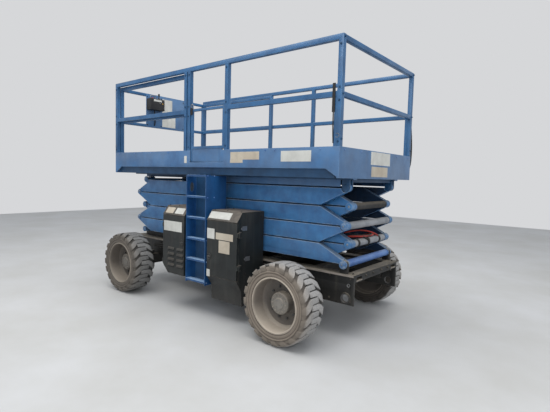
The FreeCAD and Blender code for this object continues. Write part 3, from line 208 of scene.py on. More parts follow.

# Painted and moulded finishes: screen colours, then what differs from the usual wear
# The tints are base, deep, worn and dust; the worn tint also colours the painted edge highlight.
# Rub is for worn edges and line for a painted highlight along upper edges, top and low for dust, runs and veil
# for the paint's streaks and haze.
# Floor and reach say from where, and over what height, the low dust fades.
usual = {"rough": 0.5, "rub": 0.5, "width": 0.008, "top": 0.3, "low": 0.0, "floor": 0.3, "reach": 1.0,
         "runs": 0.0, "veil": 0.0, "line": 0.0, "metal": 0.0}
finishes = {
    "bluePaint": {"tints": ((44, 108, 164), (30, 86, 138), (128, 158, 190), (138, 150, 160)),
                  "rough": 0.42, "rub": 0.6, "top": 0.35, "runs": 0.07, "veil": 0.34},
    "railPaint": {"tints": ((36, 98, 150), (24, 78, 126), (122, 152, 176), (124, 142, 150)),
                  "rough": 0.42, "rub": 0.55, "top": 0.75, "runs": 0.06, "veil": 0.16},
    # Painted shade under the deck and on the ladder's back, and a dark blue for some bolts and strips
    "shadeBlue": {"tints": ((30, 74, 112), (20, 56, 88), (96, 128, 158), (90, 104, 116)),
                  "rub": 0.4, "runs": 0.1},
    "ladderBlue": {"tints": ((30, 82, 134), (18, 64, 112), (112, 148, 186), (100, 120, 140)),
                   "rough": 0.4, "runs": 0.06},
    "rungBlue": {"tints": ((148, 184, 220), (116, 162, 208), (176, 192, 208), (146, 152, 156)),
                 "rough": 0.45, "rub": 0.7, "top": 0.4},
    # Painted shade for the arms' inward faces
    "innerBlue": {"tints": ((24, 50, 78), (16, 36, 58), (90, 112, 134), (84, 90, 94)),
                  "rough": 0.55, "top": 0.5, "runs": 0.2},
    "deepShade": {"tints": ((9, 10, 11), (6, 6, 7), (14, 14, 15), (24, 24, 24)),
                  "rough": 0.8, "rub": 0.0, "top": 0.0},
    "gritFloor": {"tints": ((74, 80, 86), (54, 60, 66), (132, 136, 140), (124, 120, 112)),
                  "rough": 0.85, "rub": 0.3, "top": 0.35},
    # The arms' line paints a highlight along their upper edges
    "armPaint": {"tints": ((50, 122, 180), (30, 92, 148), (176, 188, 198), (122, 130, 134)),
                 "rough": 0.4, "rub": 1.0, "width": 0.014, "line": 0.85, "veil": 0.16, "runs": 0.1,
                 "top": 0.8, "low": 0.15, "floor": 0.8, "reach": 0.5},
    "dustTop": {"tints": ((142, 134, 126), (112, 106, 99), (178, 166, 150), (156, 146, 134)),
                "rough": 0.75, "rub": 0.6, "top": 0.5},
    "blackPaint": {"tints": ((23, 25, 26), (15, 16, 18), (104, 98, 86), (128, 120, 106)),
                   "rough": 0.55, "rub": 0.7, "top": 0.9, "low": 0.14, "floor": 0.2, "reach": 0.5,
                   "runs": 0.12},
    "boxPaint": {"tints": ((25, 31, 31), (16, 20, 21), (112, 110, 102), (124, 114, 104)),
                 "top": 1.1, "low": 0.12, "floor": 0.25, "reach": 0.4, "runs": 0.1},
    "brightRod": {"tints": ((196, 198, 200), (170, 172, 176), (210, 210, 210), (120, 116, 108)),
                  "rough": 0.18, "rub": 0.0, "top": 0.1, "metal": 1.0},
    "barrelPaint": {"tints": ((30, 32, 34), (20, 21, 23), (96, 96, 94), (110, 106, 98)),
                    "rough": 0.45, "rub": 0.4, "top": 0.5, "runs": 0.1},
    "engineIron": {"tints": ((70, 72, 74), (44, 45, 47), (120, 116, 110), (96, 90, 80)),
                   "rough": 0.6, "top": 0.6, "low": 0.2, "reach": 0.6, "runs": 0.2},
    "controlPlastic": {"tints": ((34, 35, 37), (26, 27, 29), (70, 70, 70), (110, 110, 106)),
                       "rub": 0.3},
    "capSteel": {"tints": ((150, 152, 154), (112, 114, 118), (190, 190, 188), (120, 118, 112)),
                 "rough": 0.42, "rub": 0.3, "metal": 0.7},
    "tubeBlue": {"tints": ((92, 132, 190), (62, 104, 170), (170, 186, 206), (132, 142, 156)),
                 "rough": 0.4, "rub": 0.6, "top": 0.35, "runs": 0.2},
    "greyTube": {"tints": ((156, 159, 164), (122, 127, 134), (176, 178, 178), (140, 136, 126)),
                 "top": 0.4, "runs": 0.2},
    "plateWhite": {"tints": ((214, 214, 208), (192, 192, 186), (226, 226, 222), (150, 146, 136)),
                   "rough": 0.4, "rub": 0.2, "low": 0.1, "reach": 1.6, "runs": 0.3},
    "plateBeige": {"tints": ((198, 188, 170), (180, 168, 150), (214, 208, 196), (150, 146, 136)),
                   "rough": 0.45, "rub": 0.2, "low": 0.1, "reach": 1.6, "runs": 0.35},
    "redRubber": {"tints": ((176, 44, 34), (140, 34, 28), (190, 80, 60), (120, 100, 90)),
                  "rough": 0.55, "rub": 0.2},
    "darkRubber": {"tints": ((30, 30, 31), (22, 22, 23), (70, 70, 68), (100, 96, 88)),
                   "rough": 0.7, "rub": 0.2, "top": 0.4},
    "yellowPaint": {"tints": ((206, 158, 34), (184, 136, 26), (220, 190, 110), (130, 124, 110)),
                    "rough": 0.45, "rub": 0.4, "runs": 0.1}}


def startMaterial(name):
    material = bpy.data.materials.new(name)
    material.use_nodes = True
    wires = Wiring(material.node_tree)
    shader = wires.add("ShaderNodeBsdfPrincipled")
    wires.add("ShaderNodeOutputMaterial", {"Surface": shader.outputs[0]})
    return material, wires, shader


def surface(wires, shader, colour, rough, height, strength, depth):
    bump = wires.add("ShaderNodeBump", {"Height": height, "Strength": strength, "Distance": depth}).outputs[0]
    wires.fill(shader, {"Base Color": colour, "Roughness": rough, "Normal": bump})


def paint(name, look):
    material, wires, shader = startMaterial(name)
    base, deep, wornAndHighlight, dusty = (tint(*levels) for levels in look["tints"])
    grain = wires.shared(paintGrain, {"Scale": 90.0})
    edges = wires.shared(edgeRub, {"Width": look["width"], "Amount": look["rub"], "Scale": 13.0})
    fall = {key.capitalize(): look[key] for key in ("top", "low", "floor", "reach")}
    dust = wires.shared(dustFall, fall)["Mask"]
    runs = wires.shared(runMarks, {"Amount": look["runs"], "Length": 1.1})["Mask"]
    colour = wires.blend(wires.ramp(grain["Change"], 0.35, 0.66), base, deep)
    colour = wires.blend(runs, colour, dusty)
    if look["veil"]:
        cloud = wires.ramp(wires.noise(wires.spot(), 1.7, 5, 0.6), 0.3, 0.66)
        veil = wires.times(wires.math("MULTIPLY_ADD", cloud, 0.7, 0.3), look["veil"])
        colour = wires.blend(veil, colour, dusty)
    colour = wires.blend(dust, colour, dusty)
    # A painted highlight along upper edges, in the worn colour
    if look["line"]:
        colour = wires.blend(wires.times(edges["Upper"], look["line"]), colour, wornAndHighlight)
    colour = wires.blend(edges["Mask"], colour, wornAndHighlight)
    patchy = wires.ramp(grain["Change"], 0.3, 0.7, look["rough"] - 0.06, look["rough"] + 0.08)
    rough = wires.math("ADD", patchy, wires.times(dust, 0.35), clamp=True)
    if look["metal"]:
        wires.fill(shader, {"Metallic": wires.times(wires.math("SUBTRACT", 1.0, dust), look["metal"])})
    surface(wires, shader, colour, rough, grain["Height"], 0.12, 0.0015)
    return material


paints = {name: paint(name, {**usual, **look}) for name, look in finishes.items()}
print("finishes made:", len(paints))

# Surround and floor
surround = {"strength": 0.62, "lit": (0.86, 0.9, 0.96, 1), "seen": (214, 215, 217), "floorHalf": 14}
bpy.context.scene.view_settings.view_transform = "Standard"
world = bpy.data.worlds.new("paleSurround")
world.use_nodes = True
wires = Wiring(world.node_tree)
rays = wires.add("ShaderNodeLightPath").outputs
shiny = wires.math("MAXIMUM", rays["Is Glossy Ray"], rays["Is Transmission Ray"])
plain = wires.math("MAXIMUM", rays["Is Camera Ray"], shiny)
lit = wires.add("ShaderNodeBackground", {"Color": surround["lit"], "Strength": surround["strength"]})
seen = wires.add("ShaderNodeBackground", {"Color": tint(*surround["seen"]), "Strength": 1.0})
mixed = wires.add("ShaderNodeMixShader", {0: plain, 1: lit.outputs[0], 2: seen.outputs[0]})
wires.add("ShaderNodeOutputWorld", {"Surface": mixed.outputs[0]})
bpy.context.scene.world = world

half = surround["floorHalf"]
floorMesh = bpy.data.meshes.new("studioFloor")
ends = [(x * half, y * half, 0) for x, y in ((-1, -1), (1, -1), (1, 1), (-1, 1))]
floorMesh.from_pydata(ends, [], [(0, 1, 2, 3)])
studioFloor = placed("studioFloor", floorMesh)
material, wires, shader = startMaterial("paleConcrete")
where = wires.spot()
cloudy = wires.ramp(wires.noise(where, 0.7, 5, 0.6), 0.35, 0.68)
speckled = wires.ramp(wires.noise(where, 60, 3, 0.7), 0.3, 0.75, 0.96, 1.04)
wires.fill(shader, {"Base Color": wires.blend(cloudy, tint(186, 186, 184), tint(198, 199, 200)),
                    "Roughness": wires.times(speckled, 0.62)})
floorMesh.materials.append(material)


# Pieces: what they are made with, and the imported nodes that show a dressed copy
bodies = frame["record"]["behaviour"]["bodies"]
bodyOf = {member: body for body, members in bodies.items() for member in members}
slotOf = {part["node"]: part["material_slot"] for part in frame["record"]["subparts"]}


def baked(source):  # an object's mesh with its modifiers in it
    bpy.context.view_layer.update()
    graph = bpy.context.evaluated_depsgraph_get()
    mesh = bpy.data.meshes.new_from_object(source.evaluated_get(graph))
    bpy.data.objects.remove(source)
    return mesh


def softened(mesh, width, angle=34):  # the same mesh with its sharp edges rounded
    source = placed("softening", mesh)
    mesh.polygons.foreach_set("use_smooth", [True] * len(mesh.polygons))
    rounding = source.modifiers.new("rounding", "BEVEL")
    rounding.width, rounding.segments, rounding.angle_limit = width, 2, math.radians(angle)
    rounding.limit_method, rounding.use_clamp_overlap, rounding.harden_normals = "ANGLE", True, True
    return baked(source)


def addPiece(name, mesh, body, slot, stands=()):
    piece = placed(name, mesh)
    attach(piece, body)
    if stands:
        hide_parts(*stands)
    return piece


def camel(name):
    words = name.split("_")
    return words[0] + "".join(w.capitalize() for w in words[1:])


def dress(node, width, finish):
    build = bmesh.new()
    build.from_mesh(nodes[node].data)
    bmesh.ops.remove_doubles(build, verts=build.verts, dist=2e-5)
    bmesh.ops.dissolve_limit(build, angle_limit=math.radians(0.5), verts=build.verts, edges=build.edges)
    mesh = bpy.data.meshes.new(camel(node))
    build.to_mesh(mesh)
    build.free()
    mesh = softened(mesh, width)
    mesh.materials.clear()
    mesh.materials.append(paints[finish])
    return addPiece(camel(node) + "Shell", mesh, bodyOf[node], slotOf[node], [node])


edgeRounding = {
    "chassis_frame": 0.004, "front_axle": 0.006, "rear_axle": 0.006, "ladder": 0.003,
    "near_front_box": 0.007, "near_rear_box": 0.007, "far_engine_box": 0.007,
    "near_front_door": 0.006, "near_rear_door": 0.006, "far_engine_door": 0.006,
    "near_knuckle": 0.004, "far_knuckle": 0.004, "tie_rod": 0.002,
    "platform_deck": 0.003, "near_guard_rails": 0.006, "far_guard_rails": 0.006, "rear_guard_rails": 0.006,
    "entry_gate": 0.005, "extension_deck": 0.003, "near_extension_rails": 0.005, "far_extension_rails": 0.005,
    "front_guard_rails": 0.005, "control_panel": 0.002, "control_box": 0.008,
    "lower_lift_barrel": 0.003, "upper_lift_barrel": 0.003, "lower_lift_rod": 0.002, "upper_lift_rod": 0.002}
edgeRounding.update({f"stage{n}_{which}_arms": 0.006 for n in (1, 2, 3, 4) for which in ("outer", "inner")})
ownFinish = {node: "railPaint" for node in edgeRounding if "rail" in node}
ownFinish.update({"entry_gate": "railPaint", "ladder": "ladderBlue"})
shells = {node: dress(node, width, ownFinish.get(node, camel(slotOf[node])))
          for node, width in edgeRounding.items()}
nodes["engine_block"].data.materials.clear()
nodes["engine_block"].data.materials.append(paints["engineIron"])
print("nodes dressed:", len(edgeRounding))


# Geometry Nodes: a ring about Y, a straight row, and bolts on points
def growGroup(name, ins):
    rows = [("Geometry", shape, None)] + ins + [("Finish", "NodeSocketMaterial", None)]
    return newGroup(name, "GeometryNodeTree", rows, [("Geometry", shape)])


def closeTree(wires, inputs, finish):  # inputs: points, and what is set on each
    copies = wires.add("GeometryNodeInstanceOnPoints", inputs).outputs[0]
    solid = wires.add("GeometryNodeRealizeInstances", {"Geometry": copies}).outputs[0]
    done = wires.add("GeometryNodeSetMaterial", {"Geometry": solid, "Material": finish}).outputs[0]
    wires.add("NodeGroupOutput", {"Geometry": done})
    return wires.tree


wires, given = growGroup("ringRepeat", [("Count", whole, 12), ("Phase", number, 0.0)])
spots = wires.add("GeometryNodeMeshLine", {"Count": given["Count"], "Offset": (0, 0, 0)}).outputs[0]
share = wires.math("DIVIDE", wires.add("GeometryNodeInputIndex").outputs[0], given["Count"])
angle = wires.math("MULTIPLY_ADD", share, math.tau, given["Phase"])
turn = wires.add("ShaderNodeCombineXYZ", {"Y": angle}).outputs[0]
ringTree = closeTree(wires, {"Points": spots, "Instance": given["Geometry"], "Rotation": turn},
                     given["Finish"])

wires, given = growGroup("rowRepeat", [("Count", whole, 4), ("Step", "NodeSocketVector", (0, 0, 1))])
spots = wires.add("GeometryNodeMeshLine", {"Count": given["Count"], "Offset": given["Step"]}).outputs[0]
rowTree = closeTree(wires, {"Points": spots, "Instance": given["Geometry"]}, given["Finish"])

wires, given = growGroup("boltRepeat", [("Washer", number, 1.5)])
joined = wires.add("GeometryNodeJoinGeometry")
tip, washer, head = (12, 0.55, 0.5, 1.4), (20, given["Washer"], 0.4, 0.1), (6, 1.0, 1.1, 0.75)
for sides, radius, depth, height in (tip, washer, head):
    part = wires.add("GeometryNodeMeshCylinder", {"Vertices": sides, "Radius": radius, "Depth": depth})
    part = wires.add("GeometryNodeTransform", {"Geometry": part.outputs[0], "Translation": (0, 0, height)})
    wires.tree.links.new(part.outputs[0], joined.inputs[0])
aim = wires.add("GeometryNodeInputNamedAttribute", {"Name": "aim"}, data_type="FLOAT_VECTOR").outputs[0]
scale = wires.add("GeometryNodeInputNamedAttribute", {"Name": "size"}, data_type="FLOAT").outputs[0]
turn = wires.add("FunctionNodeAlignRotationToVector", {"Vector": aim}, axis="Z").outputs[0]
boltTree = closeTree(wires, {"Points": given["Geometry"], "Instance": joined.outputs[0], "Rotation": turn,
                             "Scale": scale}, given["Finish"])


def grown(seed, tree, finish, values):  # what a tree makes of a seed mesh
    values = {"Finish": paints[finish], **values}
    source = placed("growing", seed)
    modifier = source.modifiers.new("growth", "NODES")
    modifier.node_group = tree
    for item in tree.interface.items_tree:
        if item.in_out == "INPUT" and item.name in values:
            modifier[item.identifier] = values[item.name]
    return baked(source)


def bolts(name, body, slot, spots, finish, washer):  # spots: (place, aim, size)
    mesh = bpy.data.meshes.new(name + "Seeds")
    mesh.from_pydata([s[0] for s in spots], [], [])
    mesh.attributes.new("aim", "FLOAT_VECTOR", "POINT")
    mesh.attributes.new("size", "FLOAT", "POINT")
    mesh.attributes["aim"].data.foreach_set("vector", [v for spot in spots for v in spot[1]])
    mesh.attributes["size"].data.foreach_set("value", [spot[2] for spot in spots])
    addPiece(name, grown(mesh, boltTree, finish, {"Washer": washer}), body, slot)


def outward(mesh):
    build = bmesh.new()
    build.from_mesh(mesh)
    bmesh.ops.recalc_face_normals(build, faces=build.faces)
    build.to_mesh(mesh)
    build.free()


def lathe(profile, steps):  # (y, radius) pairs turned about Y, closed into a ring
    points, faces, count = [], [], len(profile)
    for i in range(steps):
        angle, after = math.tau * i / steps, (i + 1) % steps
        points += [(r * math.cos(angle), y, r * math.sin(angle)) for y, r in profile]
        for k in range(count):
            following = (k + 1) % count
            faces.append((i * count + k, i * count + following, after * count + following, after * count + k))
    mesh = bpy.data.meshes.new("turnedRing")
    mesh.from_pydata(points, [], faces)
    outward(mesh)
    return mesh


def smooth(mesh, angle=30):
    mesh.polygons.foreach_set("use_smooth", [True] * len(mesh.polygons))
    mesh.set_sharp_from_angle(angle=math.radians(angle))


def together(name, parts):  # (mesh, finish) pairs as one mesh
    build = bmesh.new()
    merged = bpy.data.meshes.new(name)
    used = []
    for mesh, finish in parts:
        if finish not in used:
            used.append(finish)
            merged.materials.append(paints[finish])
        before = len(build.faces)
        build.from_mesh(mesh)
        build.faces.ensure_lookup_table()
        for face in build.faces[before:]:
            face.material_index = used.index(finish)
    build.to_mesh(merged)
    build.free()
    return merged


# Wheels: tyre and rim colours run outward from the axle, with painted shade in the rim's dish, and the tyre is
# a turned carcass with lugs
wheel = {"x": 1.42, "y": 0.995, "z": 0.42, "lugs": 20, "steps": 120, "rimRounding": 0.003,
         "wall": [
             (0.144, 0.291), (0.151, 0.296), (0.154, 0.304), (0.1535, 0.318), (0.149, 0.324), (0.149, 0.330),
             (0.157, 0.334), (0.1585, 0.341), (0.157, 0.347), (0.149, 0.350), (0.150, 0.366), (0.147, 0.378),
             (0.138, 0.388), (0.110, 0.393), (0.0, 0.395)],
         "colours": [
             (0.0, (70, 64, 58)), (0.07, (126, 116, 105)), (0.22, (130, 119, 108)), (0.28, (98, 90, 82)),
             (0.36, (132, 121, 109)), (0.43, (126, 116, 105)), (0.47, (84, 78, 72)), (0.54, (118, 109, 99)),
             (0.8, (112, 105, 97))],
         "rimColours": [(0.0, (146, 142, 135)), (0.37, (132, 127, 119)), (0.395, (96, 92, 87)),
                        (0.42, (86, 82, 77)),
                        (0.68, (92, 87, 82)), (0.84, (102, 96, 90)), (0.92, (128, 119, 110)),
                        (0.955, (184, 172, 157)), (1.0, (196, 183, 167))]}
# Lug stations hold: across, upper edge, lower edge, top radius, root radius
wheelLug = {"phase": 0.0405, "around": 0.41, "flare": 0.004, "shoulder": 0.1, "tuck": 0.006,
            "softening": 0.0026,
            "stations": [
                (-0.058, 0.0235, -0.0235, 0.4175, 0.385), (-0.02, 0.0262, -0.0262, 0.4195, 0.385),
                (0.046, 0.0262, -0.028, 0.4195, 0.385), (0.062, 0.0245, -0.046, 0.4190, 0.385),
                (0.096, 0.006, -0.077, 0.4180, 0.385), (0.128, -0.019, -0.100, 0.4140, 0.385),
                (0.148, -0.040, -0.112, 0.4060, 0.375), (0.1585, -0.050, -0.118, 0.3900, 0.372),
                (0.1592, -0.058, -0.116, 0.3600, 0.348)]}

# Masks about a wheel; the inner side and the front end are where painted shade goes
wires, given = shaderGroup("wheelPolar", {"Axle": 1.42, "Height": 0.42, "Plane": 0.995},
                           ["Radius", "Side", "Inside", "Outside", "Front"])
wheelPolar = wires.tree
parts = wires.axes(wires.spot())
dx = wires.math("SUBTRACT", wires.math("ABSOLUTE", parts["X"]), given["Axle"])
dz = wires.math("SUBTRACT", parts["Z"], given["Height"])
far = wires.math("SQRT", wires.math("ADD", wires.times(dx, dx), wires.times(dz, dz)))
across = wires.math("SUBTRACT", wires.math("ABSOLUTE", parts["Y"]), given["Plane"])
wires.add("NodeGroupOutput", {
    "Radius": far, "Side": wires.math("ABSOLUTE", across), "Front": wires.ramp(parts["X"], 0.1, -0.1),
    "Inside": wires.ramp(across, -0.035, -0.05), "Outside": wires.ramp(across, 0.03, 0.13)})
wheelPlace = {"Axle": wheel["x"], "Height": wheel["z"], "Plane": wheel["y"]}


def lugMesh(side):
    points, faces = [], []
    flare, tuck, count = wheelLug["flare"], wheelLug["tuck"], len(wheelLug["stations"])
    for w, high, low, top, root in wheelLug["stations"]:
        section = ((low, top, 0), (high, top, 0), (high + flare, root, tuck), (low - flare, root, tuck))
        for t, r, inset in section:
            angle = (t + wheelLug["phase"]) / wheelLug["around"]
            y = w - inset if w > wheelLug["shoulder"] else w
            points.append((r * math.cos(angle), side * y, r * math.sin(angle)))
    for i in range(0, 4 * count - 4, 4):
        faces += [(i + k, i + (k + 1) % 4, i + (k + 1) % 4 + 4, i + k + 4) for k in range(4)]
    faces += [(3, 2, 1, 0), tuple(4 * count - 4 + k for k in range(4))]
    mesh = bpy.data.meshes.new("treadLug")
    mesh.from_pydata(points, [], faces)
    outward(mesh)
    return softened(mesh, wheelLug["softening"], 28)


def tyreMaterial():
    material, wires, shader = startMaterial("workedRubber")
    where = wires.spot()
    polar = wires.shared(wheelPolar, wheelPlace)
    radius, side, inside, outside = polar["Radius"], polar["Side"], polar["Inside"], polar["Outside"]
    broad = wires.ramp(wires.noise(where, 5.5, 4, 0.6), 0.34, 0.68)
    fine = wires.ramp(wires.noise(where, 70, 4, 0.7), 0.34, 0.68)
    wall = wires.bands(wires.ramp(radius, 0.291, 0.42), wheel["colours"])
    wall = wires.blend(wires.times(broad, 0.4), wall, tint(142, 131, 118))
    # Painted shade on the wall's inner side, towards the chassis
    wall = wires.blend(wires.times(inside, 0.82), wall, tint(36, 34, 32))
    gap = wires.blend(broad, tint(58, 58, 58), tint(84, 82, 78))
    gap = wires.blend(wires.times(outside, 0.8), gap, tint(104, 96, 88))
    top = wires.blend(fine, tint(140, 139, 138), tint(172, 170, 167))
    top = wires.blend(wires.times(outside, 0.42), top, tint(146, 135, 122))
    tread = wires.times(wires.ramp(radius, 0.378, 0.392), wires.ramp(side, 0.146, 0.12))
    tips = wires.times(wires.ramp(radius, 0.398, 0.412), wires.ramp(side, 0.158, 0.148))
    colour = wires.blend(tips, wires.blend(tread, wall, gap), top)
    # Painted shade on the front wheels
    colour = wires.blend(wires.times(polar["Front"], 0.44), colour, tint(46, 50, 51))
    surface(wires, shader, colour, wires.ramp(fine, 0, 1, 0.82, 0.95), fine, 0.3, 0.002)
    return material


def rimMaterial():
    material, wires, shader = startMaterial("dustyRim")
    where = wires.spot()
    polar = wires.shared(wheelPolar, wheelPlace)
    broad = wires.ramp(wires.noise(where, 7, 4, 0.62), 0.36, 0.66)
    fine = wires.ramp(wires.noise(where, 60, 3, 0.7), 0.34, 0.68)
    settled = wires.times(wires.ramp(wires.axes(wires.spot("Normal"))["Z"], 0.1, 0.85), 0.75)
    rub = wires.shared(edgeRub, {"Width": 0.006, "Amount": 0.7, "Scale": 20.0})["Mask"]
    # Colours by radius; the darker band between hub and lip is painted shade
    colour = wires.bands(wires.ramp(polar["Radius"], 0.0, 0.29), wheel["rimColours"])
    colour = wires.blend(wires.times(broad, 0.45), colour, tint(112, 106, 99))
    colour = wires.blend(settled, colour, tint(198, 186, 170))
    colour = wires.blend(rub, colour, tint(206, 196, 182))
    # Painted shade on the rim's inner side
    colour = wires.blend(wires.times(polar["Inside"], 0.7), colour, tint(44, 41, 38))
    # Painted shade on the front rims
    colour = wires.blend(wires.times(polar["Front"], 0.42), colour, tint(52, 48, 43))
    surface(wires, shader, colour, wires.ramp(fine, 0, 1, 0.66, 0.86), fine, 0.15, 0.0015)
    return material


paints["tyreRubber"] = tyreMaterial()
paints["dustyRim"] = rimMaterial()

# Rows of nuts hold: distance out from the wheel's middle, ring radius, nut radius, count, finish
hub = [(-0.029, 0.166, 0.0135, 10, "engineIron"), (0.05, 0.088, 0.0075, 12, "dustyRim"),
       (0.06, 0.04, 0.0045, 3, "capSteel")]
valve = {"place": (0.06, 0, 0.215), "profile": [(-0.03, 0.0), (-0.03, 0.007), (0.012, 0.007), (0.014, 0.0045),
                                                (0.03, 0.0045), (0.03, 0.0)]}
corners = {"front_near": (-1, -1), "front_far": (-1, 1), "rear_near": (1, -1), "rear_far": (1, 1)}


def wheelNut(y, radius, size, side):  # one nut at angle 0, its axis along Y
    points = []
    for depth, r in ((0, 1.0), (1.25, 1.0), (1.4, 0.86)):
        points += [(radius + size * r * math.cos(k * math.tau / 6), y + side * size * depth,
                    size * r * math.sin(k * math.tau / 6)) for k in range(6)]
    faces = [tuple(range(6)), tuple(range(12, 18))]
    for a in (0, 6):
        faces += [(a + k, a + (k + 1) % 6, a + 6 + (k + 1) % 6, a + 6 + k) for k in range(6)]
    mesh = bpy.data.meshes.new("wheelNut")
    mesh.from_pydata(points, [], faces)
    outward(mesh)
    return mesh


def tyreParts():
    wall, lugs = wheel["wall"], wheel["lugs"]
    parts = [lathe(wall + [(-y, r) for y, r in reversed(wall[:-1])], wheel["steps"])]
    for hand, phase in ((1, 0.0), (-1, math.pi / lugs)):
        parts.append(grown(lugMesh(hand), ringTree, "tyreRubber", {"Count": lugs, "Phase": phase}))
    return [(part, "tyreRubber") for part in parts]


def hubParts(side):
    parts = [(grown(wheelNut(side * out, r, nut, side), ringTree, finish, {"Count": count}), finish)
             for out, r, nut, count, finish in hub]
    stem = lathe([(side * y, r) for y, r in valve["profile"]], 12)
    stem.transform(Matrix.Translation(valve["place"]))
    return parts + [(stem, "darkRubber")]


def onWheel(name, parts, corner, slot, stands=()):
    end, side = corners[corner]
    mesh = together(name, parts)
    mesh.transform(Matrix.Translation((end * wheel["x"], side * wheel["y"], wheel["z"])))
    smooth(mesh)
    addPiece(name, mesh, corner + "_wheel", slot, stands)


for corner, (end, side) in corners.items():
    onWheel(camel(corner) + "Tyre", tyreParts(), corner, "tyre", [corner + "_tyre"])
    dress(corner + "_rim", wheel["rimRounding"], "dustyRim")
    onWheel(camel(corner) + "Nuts", hubParts(side), corner, "rim_paint")
print("wheels made")


# Shapes that the details are made of
def cuboid(corner, opposite, width=0.002):  # a softened block between two corners, in any order
    low, high = zip(*[sorted(pair) for pair in zip(corner, opposite)])
    build = bmesh.new()
    bmesh.ops.create_cube(build, size=1.0)
    for v in build.verts:
        v.co = [low[i] + (v.co[i] + 0.5) * (high[i] - low[i]) for i in range(3)]
    mesh = bpy.data.meshes.new("smallBlock")
    build.to_mesh(mesh)
    build.free()
    return softened(mesh, width)


def slab(middle, along, up, size, width):  # a plate that stands out from a face; along x up is outward
    along, up = Vector(along).normalized(), Vector(up).normalized()
    turn = Matrix((along, up, along.cross(up))).transposed().to_4x4()
    mesh = cuboid((-size[0] / 2, -size[1] / 2, 0), (size[0] / 2, size[1] / 2, size[2]), width)
    mesh.transform(Matrix.Translation(middle) @ turn)
    return mesh


def disc(middle, aim, profile, steps=28):  # (height, radius) pairs turned about an outward axis
    mesh = lathe(profile, steps)
    turn = Vector((0, 1, 0)).rotation_difference(Vector(aim)).to_matrix().to_4x4()
    mesh.transform(Matrix.Translation(middle) @ turn)
    smooth(mesh, 30)
    return mesh


def pushed(outline, low, high, width):  # a (y, z) outline pushed along X
    count = len(outline)
    ends = [tuple(range(count)), tuple(range(count, 2 * count))]
    sides = [(k, (k + 1) % count, count + (k + 1) % count, count + k) for k in range(count)]
    mesh = bpy.data.meshes.new("pushedShape")
    mesh.from_pydata([(x, y, z) for x in (low, high) for y, z in outline], [], ends + sides)
    outward(mesh)
    return softened(mesh, width)


def hose(points, radius):  # a round line that bends along the points
    curve = bpy.data.curves.new("hoseLine", "CURVE")
    curve.dimensions, curve.bevel_depth, curve.bevel_resolution, curve.use_fill_caps = "3D", radius, 3, True
    line = curve.splines.new("NURBS")
    line.points.add(len(points) - 1)
    for point, place in zip(line.points, points):
        point.co = (*place, 1.0)
    line.order_u, line.use_endpoint_u, line.resolution_u = 4, True, 6
    mesh = baked(placed("hoseLine", curve))
    smooth(mesh, 60)
    return mesh


def repaint(piece, finish, test):  # faces that pass the test get another finish
    mesh = piece.data
    mesh.materials.append(paints[finish])
    index = len(mesh.materials) - 1
    for face in mesh.polygons:
        if test(face.center, face.normal):
            face.material_index = index


def group(name, body, slot, parts):
    addPiece(name, together(name, parts), body, slot)


def spotGrid(xs, ys, zs, aim, size):  # a bolt at every crossing of the places
    return [((x, y, z), aim, size) for x in xs for y in ys for z in zs]


nearAim, farAim, frontAim, rearAim, upAim = (0, -1, 0), (0, 1, 0), (-1, 0, 0), (1, 0, 0), (0, 0, 1)
nearFace = ((1, 0, 0), (0, 0, 1))  # along and up
farFace = ((-1, 0, 0), (0, 0, 1))
rearFace = ((0, 1, 0), (0, 0, 1))
slopeFace = ((1, 0, 0), (0, 8, 11))  # the near boxes' sloped edge
blank = {"thick": 0.0018, "softening": 0.0008}


def plateOn(face, middle, size):
    return slab(middle, *face, (*size, blank["thick"]), blank["softening"])


def plateGroup(name, body, slot, rows):  # rows: face, middle, size, finish
    group(name, body, slot, [(plateOn(*row[:3]), row[3]) for row in rows])


# Side boxes: blank plates, louvres, hinge leaves, latches and bolts
boxPlates = {
    "nearFrontPlates": ("near_front_door", [
        (nearFace, (-0.325, -1.05, 1.045), (0.362, 0.128), "plateWhite")]),
    "nearFrontTopPlates": ("chassis", [
        (slopeFace, (-0.418, -1.012, 1.243), (0.155, 0.085), "plateBeige"),
        (slopeFace, (-0.225, -1.012, 1.243), (0.165, 0.085), "plateWhite")]),
    "nearRearPlates": ("near_rear_door", [
        (nearFace, (0.388, -1.05, 1.03), (0.125, 0.12), "plateWhite"),
        (nearFace, (0.611, -1.05, 1.012), (0.278, 0.078), "plateBeige"),
        (nearFace, (0.611, -1.05, 0.893), (0.175, 0.142), "plateBeige"),
        (nearFace, (0.352, -1.05, 0.562), (0.055, 0.084), "plateWhite")]),
    "nearRearTopPlate": ("chassis", [
        (slopeFace, (0.502, -1.010, 1.245), (0.35, 0.092), "plateWhite")])}
for name, (body, rows) in boxPlates.items():
    plateGroup(name, body, "box_paint", rows)

louvres = {
    "nearFrontLouvres": {"body": "near_front_door", "y": -1.05, "side": -1, "columns": (-0.355, -0.177),
                         "top": 0.762, "rows": 4, "step": -0.0707, "size": (0.126, 0.034, 0.014)},
    "farEngineLouvres": {"body": "far_engine_door", "y": 1.05, "side": 1, "columns": (-0.3, 0.02, 0.34),
                         "top": 0.98, "rows": 7, "step": -0.075, "size": (0.24, 0.036, 0.014)}}
hood = {"sunk": 0.001, "lip": 0.004, "wall": 0.003, "root": 0.009, "softening": 0.0007,
        "slitDrop": 0.62, "slitInset": 0.008, "slitShare": 0.55, "slitThick": 0.0015, "slitSoftening": 0.0004}


def louvreHood(x, y, z, side, size):  # a pressed hood, open below
    width, height, out = size
    back, front, inside = y - side * hood["sunk"], y + side * out, y + side * (out - hood["wall"])
    head, foot = z + height / 2, z - height / 2
    outline = [(back, head), (front, foot + hood["lip"]), (front, foot), (inside, foot),
               (back, head - hood["root"])]
    return pushed(outline, x - width / 2, x + width / 2, hood["softening"])


